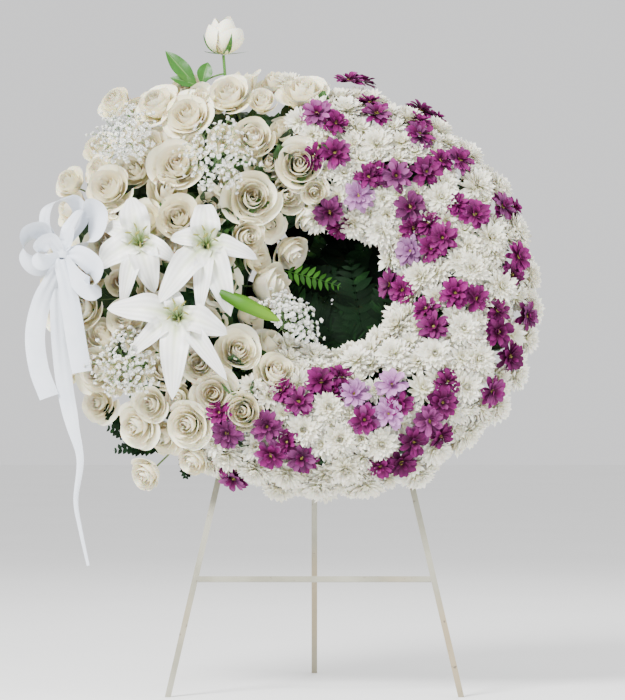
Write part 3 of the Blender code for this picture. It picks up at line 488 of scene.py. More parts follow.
def leaf_material(name, deep, bright, tip, rough=0.45, scale=60.0, rib_share=0.25, gloss=0.35):
    """Leaf green, mottled by noise, brighter on some leaves, with a paler midrib."""
    made, tree, shader = new_material(name)
    tone = ramp_node(tree, [(0.0, deep), (0.75, bright), (1.0, tip)])
    mottle = math_node(tree, "SUBTRACT", math_node(tree, "MULTIPLY", noise_node(tree, scale), 0.3), 0.15)
    tree.links.new(math_node(tree, "ADD", attribute_node(tree, "tone"), mottle), tone.inputs["Fac"])
    middle = math_node(tree, "ABSOLUTE", attribute_node(tree, "across"))
    rib = math_node(tree, "MULTIPLY", math_node(tree, "LESS_THAN", middle, 0.07), rib_share)
    colour = mix_node(tree, rib, tone.outputs["Color"], (0.3, 0.42, 0.16))
    tree.links.new(colour, shader.inputs["Base Color"])
    shader.inputs["Roughness"].default_value = rough
    shader.inputs["Specular IOR Level"].default_value = gloss
    shader.inputs["Subsurface Weight"].default_value = 0.05
    shader.inputs["Subsurface Scale"].default_value = 0.2
    add_bump(tree, shader, noise_node(tree, 300.0), 0.25, 0.001)
    return made


def plain_material(name, low, high, scale, rough, metallic=0.0, bump_height=0.0, bump_scale=200.0):
    """One colour that drifts between low and high, with an optional fine grain."""
    made, tree, shader = new_material(name)
    drift = ramp_node(tree, [(0.35, low), (0.65, high)])
    tree.links.new(noise_node(tree, scale), drift.inputs["Fac"])
    tree.links.new(drift.outputs["Color"], shader.inputs["Base Color"])
    shader.inputs["Roughness"].default_value = rough
    shader.inputs["Metallic"].default_value = metallic
    if bump_height:
        add_bump(tree, shader, noise_node(tree, bump_scale), 0.6, bump_height)
    return made


mum_white = petal_material("mum_petals", [(0.0, (0.55, 0.58, 0.14)), (0.3, (0.88, 0.87, 0.60)),
                                          (0.6, (0.96, 0.945, 0.86))],
                           (0.84, 0.82, 0.73), (1, 1, 0.98), 0.05, 0.55, 0.2)
daisy_purple = petal_material("daisy_petals", [(0.0, (0.03, 0.001, 0.012)), (0.4, (0.11, 0.003, 0.06)),
                                               (1.0, (0.23, 0.012, 0.15))],
                              (0.4, 0.35, 0.4), (1.35, 1.35, 1.35), 0.2, 0.6, 0.1, sheen=0.0, gloss=0.15,
                              kinds=[(0.0, (0.30, 0.08, 0.28)), (1.0, (0.55, 0.28, 0.55))])
rose_cream = petal_material("rose_petals", [(0.0, (0.66, 0.70, 0.26)), (0.25, (0.95, 0.88, 0.62)),
                                            (0.6, (0.99, 0.93, 0.72)), (1.0, (0.99, 0.95, 0.80))],
                            (0.97, 0.95, 0.88), (1, 1, 1), 0.01, 0.5, 0.4,
                            kinds=[(0.0, (0.92, 0.62, 0.25)), (0.5, (0.97, 0.84, 0.56)),
                                   (1.0, (0.98, 0.92, 0.74))])
lily_white = petal_material("lily_petals", [(0.0, (0.5, 0.6, 0.22)), (0.22, (0.86, 0.88, 0.70)),
                                            (0.5, (0.95, 0.95, 0.92))],
                            (0.92, 0.93, 0.9), (1, 1, 1), 0.09, 0.42, 0.2,
                            kinds=[(0.0, (0.35, 0.5, 0.08)), (0.5, (0.62, 0.72, 0.3)),
                                   (1.0, (0.85, 0.88, 0.66))])
sprig_white = petal_material("sprig_florets", [(0.0, (0.7, 0.75, 0.5)), (0.4, (0.93, 0.93, 0.9))],
                             (0.9, 0.9, 0.88), (1, 1, 1), 0.0, 0.6, 0.1)
eye_olive = plain_material("daisy_eyes", (0.13, 0.12, 0.012), (0.30, 0.24, 0.03), 400.0, 0.7,
                           bump_height=0.0008, bump_scale=900.0)
leaf_dark = leaf_material("leaves", (0.008, 0.028, 0.01), (0.03, 0.095, 0.025), (0.09, 0.2, 0.05))
# Near-black fern green: painted shade, used for the fronds in the dark hole and the four at the lower left.
fern_painted_shade = leaf_material("fern", (0.001, 0.004, 0.0015), (0.004, 0.016, 0.005), (0.014, 0.06, 0.01),
                           0.6, rib_share=0.0, gloss=0.06)
# Near-black leaf green for the back of the ring's hole: painted shade.
hole_shade_green = leaf_material("painted_shade_leaves", (0.0006, 0.002, 0.0008), (0.002, 0.009, 0.003),
                           (0.01, 0.035, 0.007), 0.7, rib_share=0.0, gloss=0.04)
frond_bright = leaf_material("bright_frond", (0.008, 0.035, 0.003), (0.02, 0.08, 0.006),
                             (0.05, 0.15, 0.015), 0.5, rib_share=0.0, gloss=0.1)
leaf_bright = leaf_material("bright_leaves", (0.02, 0.09, 0.01), (0.05, 0.19, 0.02),
                            (0.13, 0.33, 0.06), 0.4)
stem_green = leaf_material("stems", (0.05, 0.11, 0.03), (0.12, 0.22, 0.07), (0.22, 0.34, 0.14), 0.5)
bud_green = petal_material("lily_bud", [(0.0, (0.03, 0.12, 0.003)), (0.5, (0.075, 0.23, 0.008)),
                                        (1.0, (0.17, 0.34, 0.02))],
                           (0.9, 0.95, 0.85), (1, 1, 1), 0.35, 0.45, 0.05, sheen=0.0, gloss=0.2)
print("materials ready")


# %% [markdown]
# ## White chrysanthemums
# About a hundred narrow petals stand in seven rings. The outer ones lie flat and turn up at their tips;
# the inner ones are shorter, steeper and greener.

# %% Chrysanthemum petals
PETAL_CUP = 0.35


def ringed_bloom(sites, rings, drop, form, rows, cols, jitter=0.12, ease=1.12):
    """All petals of all blooms. Each ring is (count, start radius, height, length, first angle,
    last angle, width, heart), in shares of the bloom's radius; heart sets how far along the colour
    starts. A petal is shortened to stay on its own side of the neighbouring blooms."""
    centre, facing, side, over = bloom_frames(sites)
    size = np.array([s.radius for s in sites])
    bloom_tone = noise.uniform(0.25, 0.75, len(sites))
    points, marks = [], []
    for number, (count, away, height, length, first, last, width, heart) in enumerate(rings):
        owner = np.repeat(np.arange(len(sites)), count)
        n = len(owner)
        turn = np.tile(np.arange(count), len(sites)) * 2 * np.pi / count + number * 0.37
        turn = turn + noise.normal(0, jitter, n) * 2 * np.pi / count * 1.5 + owner * 1.3
        out = np.cos(turn)[:, None] * side[owner] + np.sin(turn)[:, None] * over[owner]
        radius = size[owner]
        base = centre[owner] + out * (away * radius)[:, None]
        base = base + facing[owner] * ((height + drop) * radius)[:, None]
        long = length * radius * noise.uniform(0.88, 1.06, n)
        tip = base + out * (long * math.cos((first + last) / 2))[:, None] - centre[owner]
        share = cell_share(sites, owner, tip, ease)
        lift = 0.5 * (1 - share)
        start = first + lift + noise.normal(0, jitter, n)
        end = last + lift + noise.normal(0, jitter, n)
        wide = width * radius * noise.uniform(0.85, 1.1, n)
        grid = petal_grid(base, out, facing[owner], long * (0.45 + 0.55 * share), start, end, wide,
                          np.full(n, PETAL_CUP), form, rows, cols)
        points.append(grid)
        tone = np.clip(bloom_tone[owner] + noise.normal(0, 0.16, n), 0, 1)
        mark = marks_of(n, rows, cols, tone)
        mark["along"] = heart + (1 - heart) * mark["along"]
        marks.append(mark)
    return [(p, grid_faces(len(p), rows, cols), m) for p, m in zip(points, marks)]


MUM_FORM = (0.35, 0.62, 0.55)
MUM_RINGS = [
    (21, 0.10, -0.16, 0.92, -0.12, 0.30, 0.26, 0.30),
    (19, 0.10, -0.06, 0.86, 0.10, 0.42, 0.25, 0.28),
    (17, 0.09, 0.02, 0.76, 0.36, 0.62, 0.24, 0.26),
    (15, 0.08, 0.08, 0.62, 0.62, 0.90, 0.22, 0.20),
    (13, 0.07, 0.10, 0.48, 0.90, 1.30, 0.19, 0.12),
    (10, 0.05, 0.12, 0.34, 1.15, 1.75, 0.16, 0.05),
    (7, 0.03, 0.12, 0.24, 1.35, 1.95, 0.13, 0.0),
]
mum_sites = [s for s in SITES if s.kind == "mum"]
white_nodes = [f"white_mums_{k}" for k in range(1, 8)]
mum_parts = ringed_bloom(mum_sites, MUM_RINGS, -0.02, MUM_FORM, 6, 3, 0.16, 1.24)
add_piece("mum_blooms", mum_parts, mum_white, white_nodes)

# %% [markdown]
# Smaller heads of the same sprays fill the gaps, each a little below the large ones. Seeded darts
# find their places, and a plane half-way to each near neighbour stops their petals. Four more stand
# under the topmost daisy, which would otherwise seem to float.

# %% Small chrysanthemums between the large ones
SMALL_MUM_RADIUS = 0.0265
SMALL_RINGS = [
    (17, 0.10, -0.10, 0.95, 0.0, 0.40, 0.27, 0.30),
    (15, 0.10, 0.0, 0.84, 0.3, 0.60, 0.25, 0.28),
    (12, 0.09, 0.08, 0.66, 0.62, 0.95, 0.24, 0.2),
    (9, 0.06, 0.12, 0.44, 1.0, 1.5, 0.2, 0.08),
    (6, 0.03, 0.14, 0.28, 1.3, 1.9, 0.16, 0.0),
]


def filling_sites(kind, radius, sunk, spacing, tries, spans, clear, kept_open=()):
    """Seeded darts on the dome, between the angles `spans`, that keep `spacing` from one another and
    `clear[kind]` from the planned heads; each stands `sunk` below the surface. kept_open lists
    photo places, each with a radius, that stay free."""
    found = []
    open_spots = [(in_plane(px, py, 0.04), room) for px, py, room in kept_open]
    tilts = (-0.35, 0.35)
    for _ in range(tries):
        turn = math.radians(rng.uniform(*spans))
        share = math.sin(rng.uniform(-1.12, 1.5))
        reach = INNER_REACH if share < 0 else outer_reach(turn)
        away = RING_RADIUS + share * reach
        x, z = away * math.cos(turn), away * math.sin(turn)
        depth, facing = dome(x, z)
        centre = Vector((x, -depth, z)) - facing * sunk
        free = all((centre - s.centre).length > clear.get(s.kind, 0.02) for s in SITES)
        free = free and all(math.hypot(centre.x - o.x, centre.z - o.z) > room for o, room in open_spots)
        if free and all((centre - s.centre).length > spacing for s in found):
            facing = (facing + Vector([rng.uniform(*tilts) for _ in range(3)])).normalized()
            found.append(Site("", kind, centre, facing, radius * rng.uniform(0.85, 1.1)))
    return found


def fence(sites, others):
    """Gives each site the planes half-way to its near neighbours in `others`; petals stop there."""
    for site in sites:
        for other in others:
            way = other.centre - site.centre
            apart = way.length
            if apart < 2 * (site.radius + other.radius):
                share = (apart ** 2 + site.radius ** 2 - other.radius ** 2) / (2 * apart)
                site.planes.append((tuple(way / apart), share))


small_mums = filling_sites("small mum", SMALL_MUM_RADIUS, 0.006, 0.024, 7000, (-128, 101),
                           {"mum": 0.0235, "daisy": 0.026, "rose": 0.036})
top_daisy = max((s for s in SITES if s.kind == "daisy"), key=lambda s: s.centre.z)
for across in (-0.034, -0.012, 0.012, 0.034):
    spot = top_daisy.centre + Vector((across, -0.004, -0.021 - 0.2 * abs(across)))
    facing = (UP * 0.7 + FRONT * 0.6).normalized()
    small_mums.append(Site("", "small mum", spot, facing, SMALL_MUM_RADIUS))
fence(small_mums, [s for s in SITES if s.kind != "mum"])
small_mum_parts = ringed_bloom(small_mums, SMALL_RINGS, 0.0, MUM_FORM, 5, 3, 0.18)
add_piece("small_mum_blooms", small_mum_parts, mum_white)
print(len(small_mums), "small white heads")

# %% [markdown]
# ## Purple daisies
# Two rings of flat petals and a few short ones stand round an olive eye. A few of the daisies are
# lilac, as in the photograph. Each spray has a second, smaller flower beside the first.

# %% Daisy petals and eyes
DAISY_FORM = (0.45, 0.66, 0.5)
SMALL_DAISY_RADIUS = 0.0235
DAISY_RINGS = [
    (12, 0.14, 0.06, 0.88, 0.02, 0.02, 0.38, 0.2),
    (11, 0.12, 0.16, 0.76, 0.28, 0.24, 0.36, 0.1),
    (6, 0.07, 0.20, 0.46, 0.80, 0.95, 0.28, 0.0),
]
daisy_sites = [s for s in SITES if s.kind == "daisy"]
daisy_parts = ringed_bloom(daisy_sites, DAISY_RINGS, 0.10, DAISY_FORM, 7, 5, 0.24)
pale = np.array([s.pixel in PALE_DAISIES for s in daisy_sites], float)
for (count, *_), (points, _, mark) in zip(DAISY_RINGS, daisy_parts):
    kind = np.maximum(pale, noise.uniform(-0.3, 0.28, len(pale)).clip(0, 1))
    mark["kind"] = np.broadcast_to(np.repeat(kind, count)[:, None, None], points.shape[:-1])
add_piece("daisy_blooms", daisy_parts, daisy_purple, list(DAISIES))


def domes(sites, radius, rise, height, rows=6, cols=12):
    """Round bumps: a half ball flattened to `rise`, `height` bloom radii above each bloom's centre."""
    centre, facing, side, over = bloom_frames(sites)
    lat = np.linspace(0, np.pi / 2, rows)[None, :, None]
    lon = (np.arange(cols) * 2 * np.pi / cols)[None, None, :]
    size = (np.array([s.radius for s in sites]) * radius)[:, None, None]
    flat = lambda a: a[:, None, None]
    across = (np.cos(lat) * np.cos(lon) * size)[..., None] * flat(side)
    along = (np.cos(lat) * np.sin(lon) * size)[..., None] * flat(over)
    up = (np.sin(lat) * rise * size + height * size / radius)[..., None] * flat(facing)
    points = flat(centre) + across + along + up * np.ones_like(across[..., :1])
    return [(points, grid_faces(len(sites), rows, cols, True), {"along": 0.5, "tone": 0.5})]


add_piece("daisy_eyes", domes(daisy_sites, 0.17, 0.55, 0.22), eye_olive)


def companions(sites, radius, away, sunk):
    """One smaller head beside each site, on the same surface, for the sprays' second flowers."""
    found = []
    for k, site in enumerate(sites):
        side = site.facing.orthogonal().normalized()
        turn = GOLDEN * k * 1.7
        out = math.cos(turn) * side + math.sin(turn) * site.facing.cross(side)
        centre = site.centre + out * away - site.facing * sunk
        if all((centre - s.centre).length > 0.019 for s in SITES if s is not site):
            made = Site("", "daisy", centre, (site.facing + 0.45 * out).normalized(), radius)
            made.pixel = site.pixel
            found.append(made)
    return found


small_daisies = companions(daisy_sites, SMALL_DAISY_RADIUS, 0.030, 0.003)
small_parts = ringed_bloom(small_daisies, DAISY_RINGS, 0.10, DAISY_FORM, 7, 5, 0.28)
add_piece("small_daisy_blooms", small_parts, daisy_purple)
add_piece("small_daisy_eyes", domes(small_daisies, 0.17, 0.55, 0.22), eye_olive)
print(len(small_daisies), "small daisies")


# %% [markdown]
# ## Roses
# A rose is a spiral of wide petals wrapped round its axis. Each next petal is turned by the golden
# angle, stands steeper and reaches less far; the outermost ones roll back at the lip. Roses with
# fewer petals fill the side of the cluster, half hidden between the named ones.

# %% Rose petals
ROSE_GROW = 1.2
FERN_ROOM = (122, 432, 0.058)


def rose_parts(sites, petals=21, rows=10, cols=9):
    """All rose petals. A petal's midline runs out from the base, then up as the wall of a bowl; each
    point is turned round the axis by u times the petal's span and lowered towards its corners. Outer
    petals roll back at the lip, and inner ones lean in."""
    centre, facing, side, over = bloom_frames(sites)
    size = np.array([s.radius for s in sites]) * ROSE_GROW
    owner = np.repeat(np.arange(len(sites)), petals)
    n = len(owner)
    inner = np.tile(np.arange(petals) / (petals - 1.0), len(sites))
    opened = np.repeat(noise.uniform(0.0, 1.0, len(sites)), petals)
    turn = np.tile(np.arange(petals) * GOLDEN, len(sites)) + owner * 2.1 + noise.normal(0, 0.12, n)
    v = np.linspace(0, 1, rows)[None, :, None]
    u = np.linspace(-1, 1, cols)[None, None, :]
    wide = lambda a: a[:, None, None]
    reach = wide((0.80 + 0.14 * opened) * (1.0 - 0.90 * inner ** 0.75) + noise.normal(0, 0.015, n))
    top = wide(0.34 - 0.26 * opened + 0.36 * inner ** 0.6 + noise.normal(0, 0.04, n))
    low = wide(-0.72 + 0.1 * inner)
    corner = v * (1 - 0.2 * u ** 2 * v ** 2)
    wall = np.sin(np.pi / 2 * np.minimum(1, corner / 0.8)) ** 0.9
    lip = wide(np.clip(1 - 1.9 * inner, 0, 1) * (0.5 + 0.9 * opened)) * smooth((corner - 0.62) / 0.38)
    lean = wide(np.clip(2.2 * inner - 1.1, 0, 1)) * smooth((corner - 0.55) / 0.45)
    away = reach * (0.08 + 0.92 * wall) + 0.20 * lip - 0.30 * reach * lean
    rise = low + (top - low) * corner ** 1.25 - 0.20 * lip * (1 - 0.5 * u ** 2)
    ripple = 0.022 * v ** 3 * np.sin(4.0 * u + wide(noise.uniform(0, 6.28, n)))
    span = wide(0.92 + 0.75 * inner) * (0.55 + 0.45 * np.sin(np.pi / 2 * np.minimum(1, v / 0.5)))
    angle = wide(turn) + u * span
    radius = wide(size[owner])
    out = np.cos(angle)[..., None] * wide(side[owner]) + np.sin(angle)[..., None] * wide(over[owner])
    away = away + ripple + 0.035 * u * wide(1 - 0.5 * inner)
    offset = out * (away * radius)[..., None] + wide(facing[owner]) * ((rise + ripple) * radius)[..., None]
    offset = offset * cell_share(sites, owner, offset, 1.22)[..., None]
    points = wide(centre[owner]) + offset
    tone = np.clip(0.5 + noise.normal(0, 0.2, n), 0, 1)
    kind = np.clip((inner - 0.35) * 1.5, 0, 1) * np.repeat(noise.uniform(0.25, 1.0, len(sites)), petals)
    mark = marks_of(n, rows, cols, tone, kind)
    return [(points, grid_faces(n, rows, cols), mark)]


rose_sites = [s for s in SITES if s.kind == "rose"]
side_roses = filling_sites("rose", 0.029, 0.015, 0.046, 2500, (94, 238),
                           {"rose": 0.043, "lily": 0.034, "mum": 0.036, "daisy": 0.034}, [FERN_ROOM])
add_piece("rose_blooms", rose_parts(rose_sites), rose_cream, list(ROSES))
add_piece("side_rose_blooms", rose_parts(side_roses, 15, 9, 7), rose_cream)
print(len(rose_sites), "roses, and", len(side_roses), "half hidden between them")


# %% [markdown]
# ## Lilies
# Six petals rise from a narrow throat, arch over and taper to the tips seen in the photograph. Six
# stamens and a pistil stand in the throat.

# %% Lily petals, stamens and the bud
def curve_points(a, b, c, v):
    """Points of quadratic curves a-b-c (each an array of starts) at the shares v."""
    a, b, c = (np.asarray(p, float)[:, None] for p in (a, b, c))
    v = v[None, :, None]
    return a * (1 - v) ** 2 + b * 2 * v * (1 - v) + c * v ** 2


def curve(a, b, c, count):
    """One such curve, as `count` points."""
    return curve_points([a], [b], [c], np.linspace(0, 1, count))[0]


def leaf_grid(a, b, c, width, face, form, cols, fold=0.0, wave=0.0, teeth=0):
    """Leaves or petals along curves a-b-c: the width follows `swell`, whose three shares start `form`
    and whose number of rows ends it. The face direction bends the blade, fold lifts both edges to a
    V, wave ripples them, and teeth notch the outline."""
    count = len(a)
    rows = form[3]
    v = np.linspace(0, 1, rows)
    u = np.linspace(-1, 1, cols)
    line = curve_points(a, b, c, v)
    along = unit(np.gradient(line, axis=1))
    side = unit(np.cross(along, np.broadcast_to(np.asarray(face, float)[:, None], along.shape)))
    up = np.cross(side, along)
    half = np.asarray(width, float)[:, None] / 2 * swell(v, *form[:3])[None]
    if teeth:
        half = half * (1 - 0.16 * (np.arange(rows) % 2))[None]
    phase = noise.uniform(0, 6.28, (count, 1, 1))
    lift = fold * np.abs(u) + wave * np.sin(v[:, None] * 15 + phase) * u ** 2
    return line[:, :, None] + side[:, :, None] * (half[..., None] * u)[..., None] \
        + up[:, :, None] * (half[..., None] * lift)[..., None]


def leaf_part(a, b, c, width, face, form, cols, tones, **shape):
    """Leaves as a part for add_piece, each with its own tone between the two of `tones`."""
    grid = leaf_grid(a, b, c, width, face, form, cols, **shape)
    count, rows = len(grid), form[3]
    return grid, grid_faces(count, rows, cols), marks_of(count, rows, cols, noise.uniform(*tones, count))


def tube_grid(line, radius, sides=5):
    """Tubes round lines of shape (count, rows, 3), with a radius for each row."""
    along = unit(np.gradient(line, axis=1))
    helper = np.where(np.abs(along[..., 2:]) < 0.9, [0.0, 0, 1], [1.0, 0, 0])
    side = unit(np.cross(along, helper))
    over = np.cross(along, side)
    turn = np.arange(sides) * 2 * np.pi / sides
    ring = np.cos(turn)[:, None] * side[:, :, None] + np.sin(turn)[:, None] * over[:, :, None]
    return line[:, :, None] + ring * np.broadcast_to(radius, line.shape[:2])[..., None, None]


def tubes(line, radius, sides=5, tone=0.5):
    """Tubes as a part for add_piece, in one tone."""
    points = tube_grid(np.asarray(line, float), np.asarray(radius, float), sides)
    marks = {"tone": tone, "along": 0.5, "across": 0.5}
    return points, grid_faces(len(points), points.shape[1], sides, True), marks


LILY_FORM = (0.20, 0.50, 0.62, 20)
LILY_COLS = 9
LILY_CURL = 0.026
STAMENS = 6
STAMEN, PISTIL = (0.015, 0.062, 0.0009, 0.0016), (0.0, 0.074, 0.0013, 0.0022)


def lily_parts():
    """Petals of all three lilies, from the rim of each throat to the tips seen in the photograph. Each
    tip curls back by LILY_CURL times the fourth power of the share of the petal's length. The stamens
    are lines bent outwards round a longer, straight pistil."""
    roots, lifts, tips, faces, widths, throats, axes = [], [], [], [], [], [], []
    for node, (_, ends) in LILIES.items():
        site = next(s for s in SITES if s.node == node)
        axis = (FRONT * 0.8 + site.facing * 0.2).normalized()
        throat = site.centre + site.facing * 0.006
        rim = throat + axis * 0.034
        throats.append(throat)
        axes.append(axis)
        for k, (px, py, depth) in enumerate(ends):
            tip = in_plane(px, py, depth)
            out = (tip - rim - (tip - rim).dot(axis) * axis).normalized()
            back = 0.004 * (k % 2)
            roots.append(throat + out * 0.004 + axis * 0.004)
            lifts.append(rim + axis * (0.040 - back) + out * 0.020)
            tips.append(tip)
            faces.append((axis - out * 0.35).normalized())
            widths.append(0.045 - 0.015 * (k % 2))
    faces = np.array(faces)
    grid, quads, mark = leaf_part(np.array(roots), np.array(lifts), np.array(tips), np.array(widths), faces,
                                  LILY_FORM, LILY_COLS, (0.4, 1), fold=0.30, wave=0.36)
    curl = np.linspace(0, 1, LILY_FORM[3])[None, :, None, None] ** 4 * LILY_CURL
    mark["kind"] = np.exp(-(mark["across"] / 0.22) ** 2) * (1 - mark["along"]) ** 1.2
    petals = (grid - faces[:, None, None] * curl, quads, mark)
    lines, sizes, heads = [], [], []
    for throat, axis in zip(throats, axes):
        side = axis.orthogonal().normalized()
        over = axis.cross(side)
        for k in range(STAMENS + 1):
            out, high, thick, head = PISTIL if k == STAMENS else STAMEN
            swing = (math.cos(k * 1.047) * side + math.sin(k * 1.047) * over) * out
            end = throat + axis * high + swing
            lines.append(curve(throat, throat + axis * 0.04 + swing * 0.3, end, 8))
            sizes.append(thick)
            heads.append((end, (swing + side * 0.004).normalized(), head))
    stamens = tubes(np.array(lines), np.array(sizes)[:, None] * np.ones(8), 5, 0.95)
    ends = np.array([[h + w * t * 0.0055 for t in (-1, -0.5, 0, 0.5, 1)] for h, w, _ in heads])
    fat = np.array([[r * f for f in (0.2, 0.9, 1, 0.9, 0.2)] for _, _, r in heads])
    anthers = tubes(ends, fat, 6, 0.8)
    return petals, stamens, anthers


petals, stamens, anthers = lily_parts()
add_piece("lily_petals", [petals], lily_white, list(LILIES))
add_piece("lily_stamens", [stamens], stem_green)
anther_brown = plain_material("lily_anthers", (0.12, 0.16, 0.03), (0.3, 0.26, 0.05), 300.0, 0.8)
add_piece("lily_anthers", [anthers], anther_brown)


BUD_BASE = (213, 289, 0.166)
BUD_TIP = (280, 321, 0.172)
BUD_SIDES = 18


def bud_parts():
    """A long bud of three closed petals: a tube that swells and narrows, with three shallow grooves."""
    start, end = in_plane(*BUD_BASE), in_plane(*BUD_TIP)
    v = np.linspace(0, 1, 18)
    line = np.array([[start.lerp(end, s) for s in v]])
    size = np.interp(v, [0, 0.12, 0.45, 0.8, 0.97, 1], [0.003, 0.007, 0.0118, 0.0092, 0.0036, 0.0008])
    points = tube_grid(line, size[None], BUD_SIDES)
    centre = line[:, :, None]
    groove = 1 - 0.14 * np.abs(np.cos(3.0 * np.arange(BUD_SIDES) * 2 * np.pi / BUD_SIDES)) ** 6
    points = centre + (points - centre) * groove[None, None, :, None]
    along = v[None, :, None] * np.ones(points.shape[:3])
    return [(points, grid_faces(1, len(v), BUD_SIDES, True), {"along": along, "tone": 0.6})]


add_piece("lily_bud_petals", bud_parts(), bud_green, ["lily_bud"])

# %% [markdown]
# ## The rosebud above the ring
# One rose is still closed: its petals lie over one another as an egg-shaped wall. It stands on a stem
# of its own, with narrow sepals under it and three pointed leaves on a side twig.

# %% Top rosebud, its stem and leaves
TOP_BUD = (221, 31, 0.075)
STEM_MOUTH, STEM_BEND = (233, 132, 0.03), (223, 72, 0.062)
TWIG_FORK, TWIG_END = (222, 66, 0.064), (193, 80, 0.06)
TWIG_LEAVES = [(0.80, (205, 54, 0.062), 0.024), (0.9, (166, 70, 0.062), 0.018),
               (0.98, (161, 42, 0.062), 0.026)]
bud_head = in_plane(*TOP_BUD)
bud_facing = (UP * 0.95 + FRONT * 0.25).normalized()
top_site = Site("top_rosebud", "rose", bud_head, bud_facing, 0.031)


def top_bud_parts(petals=7, rows=12, cols=9):
    """Overlapping petals of a bud that is still closed: each is part of an egg-shaped wall, turned by a
    third of a circle from the last, and the lips of the outer three lean away."""
    side = bud_facing.orthogonal().normalized()
    over = bud_facing.cross(side)
    foot, k = np.array(top_site.foot()), np.arange(petals)[:, None, None]
    mark = marks_of(petals, rows, cols, noise.uniform(0.6, 1, petals))
    v, u = mark["along"], mark["across"]
    outer = np.clip(k - (petals - 4), 0, 3) / 3.0
    wall = np.sin(np.pi * (0.03 + 0.80 * v ** 0.85)) ** 0.75
    away = (0.0205 + 0.0016 * k) * wall + 0.020 * outer * v ** 3
    rise = (0.060 - 0.0025 * k - 0.010 * outer) * v - 0.010 * v ** 3 * u ** 2
    angle = 2.2 * k + u * (1.15 - 0.25 * outer) * (0.45 + 0.55 * np.sin(np.pi / 2 * np.minimum(1, v * 1.8)))
    out = np.cos(angle)[..., None] * np.array(side) + np.sin(angle)[..., None] * np.array(over)
    points = foot + out * away[..., None] + np.array(bud_facing) * rise[..., None]
    return [(points, grid_faces(petals, rows, cols), mark)]


def sepal_parts(count=5):
    """Narrow pointed sepals under the bud, bent outwards."""
    side = bud_facing.orthogonal().normalized()
    over = bud_facing.cross(side)
    turns = [2 * math.pi * k / count + 0.5 for k in range(count)]
    outs = [math.cos(turn) * side + math.sin(turn) * over for turn in turns]
    foot = top_site.foot() + bud_facing * 0.001
    bends = [foot + out * 0.030 + bud_facing * 0.003 for out in outs]
    ends = [foot + out * 0.038 + bud_facing * (0.032 if k % 2 else 0.004) for k, out in enumerate(outs)]
    return [leaf_part([foot] * count, bends, ends, [0.010] * count, np.array(outs) - np.array(bud_facing),
                      (0.5, 0.3, 0.9, 12), 5, (0.0, 0.5), fold=0.2)]


add_piece("top_rosebud_petals", top_bud_parts(), rose_cream, ["top_rosebud"])
add_piece("top_rosebud_sepals", sepal_parts(), leaf_bright)


def top_stem_parts():
    """The stem from the foam up to the bud, a side twig, and three pointed leaves on it."""
    low = top_site.foot() - bud_facing * (GAP + 0.0004)
    bend, mouth = in_plane(*STEM_BEND), in_plane(*STEM_MOUTH)
    fork, twig_end = in_plane(*TWIG_FORK), in_plane(*TWIG_END)
    main = np.concatenate([curve(mouth, (mouth + bend) / 2, bend, 12)[:-1],
                           curve(bend, (bend + low) / 2, low, 12)])
    twig = curve(fork, (fork + twig_end) / 2 + UP * 0.008, twig_end, 12)
    starts = np.array([fork.lerp(twig_end, share) for share, _, _ in TWIG_LEAVES])
    ends = np.array([in_plane(*tip) for _, tip, _ in TWIG_LEAVES])
    leaves = leaf_part(starts, (starts + ends) / 2 + [0, -0.006, 0], ends, [w for _, _, w in TWIG_LEAVES],
                       [[0, -1, 0.2]] * 3, (0.1, 0.5, 0.9, 21), 7, (0.2, 0.5), fold=0.2, wave=0.08)
    return [tubes([main], 0.0026, 6), tubes([twig], 0.0015, 5), leaves]


add_piece("top_rose_twig", top_stem_parts(), leaf_bright, ["top_rose_stem"])

# %% [markdown]
# ## Baby's breath
# Each sprig branches twice, and each fine branch ends in a tiny many-petalled floret. The branches fan
# out by the golden angle, so that they never line up.

# %% Sprigs and florets
SPRIG_BRANCHES = 34


def floret_petals(spots, ways, size, count=7):
    """Tiny florets: `count` round petals each, cupped, about the direction `ways`."""
    helper = np.where(np.abs(ways[:, 2:]) < 0.9, [0.0, 0, 1], [1.0, 0, 0])
    side = unit(np.cross(ways, helper))
    over = np.cross(ways, side)
    owner = np.repeat(np.arange(len(spots)), count)
    n = len(owner)
    turn = np.tile(np.arange(count) * 2 * np.pi / count, len(spots)) + owner
    out = np.cos(turn)[:, None] * side[owner] + np.sin(turn)[:, None] * over[owner]
    first = np.where(np.arange(n) % 2, 0.9, 0.25)
    long = size[owner] * noise.uniform(0.8, 1.1, n)
    grid = petal_grid(spots[owner], out, ways[owner], long, first, first + 0.3, size[owner] * 0.95,
                      np.full(n, 0.3), (0.3, 0.6, 0.4), 4, 3)
    return grid, grid_faces(n, 4, 3), marks_of(n, 4, 3, noise.uniform(0.3, 1, n))


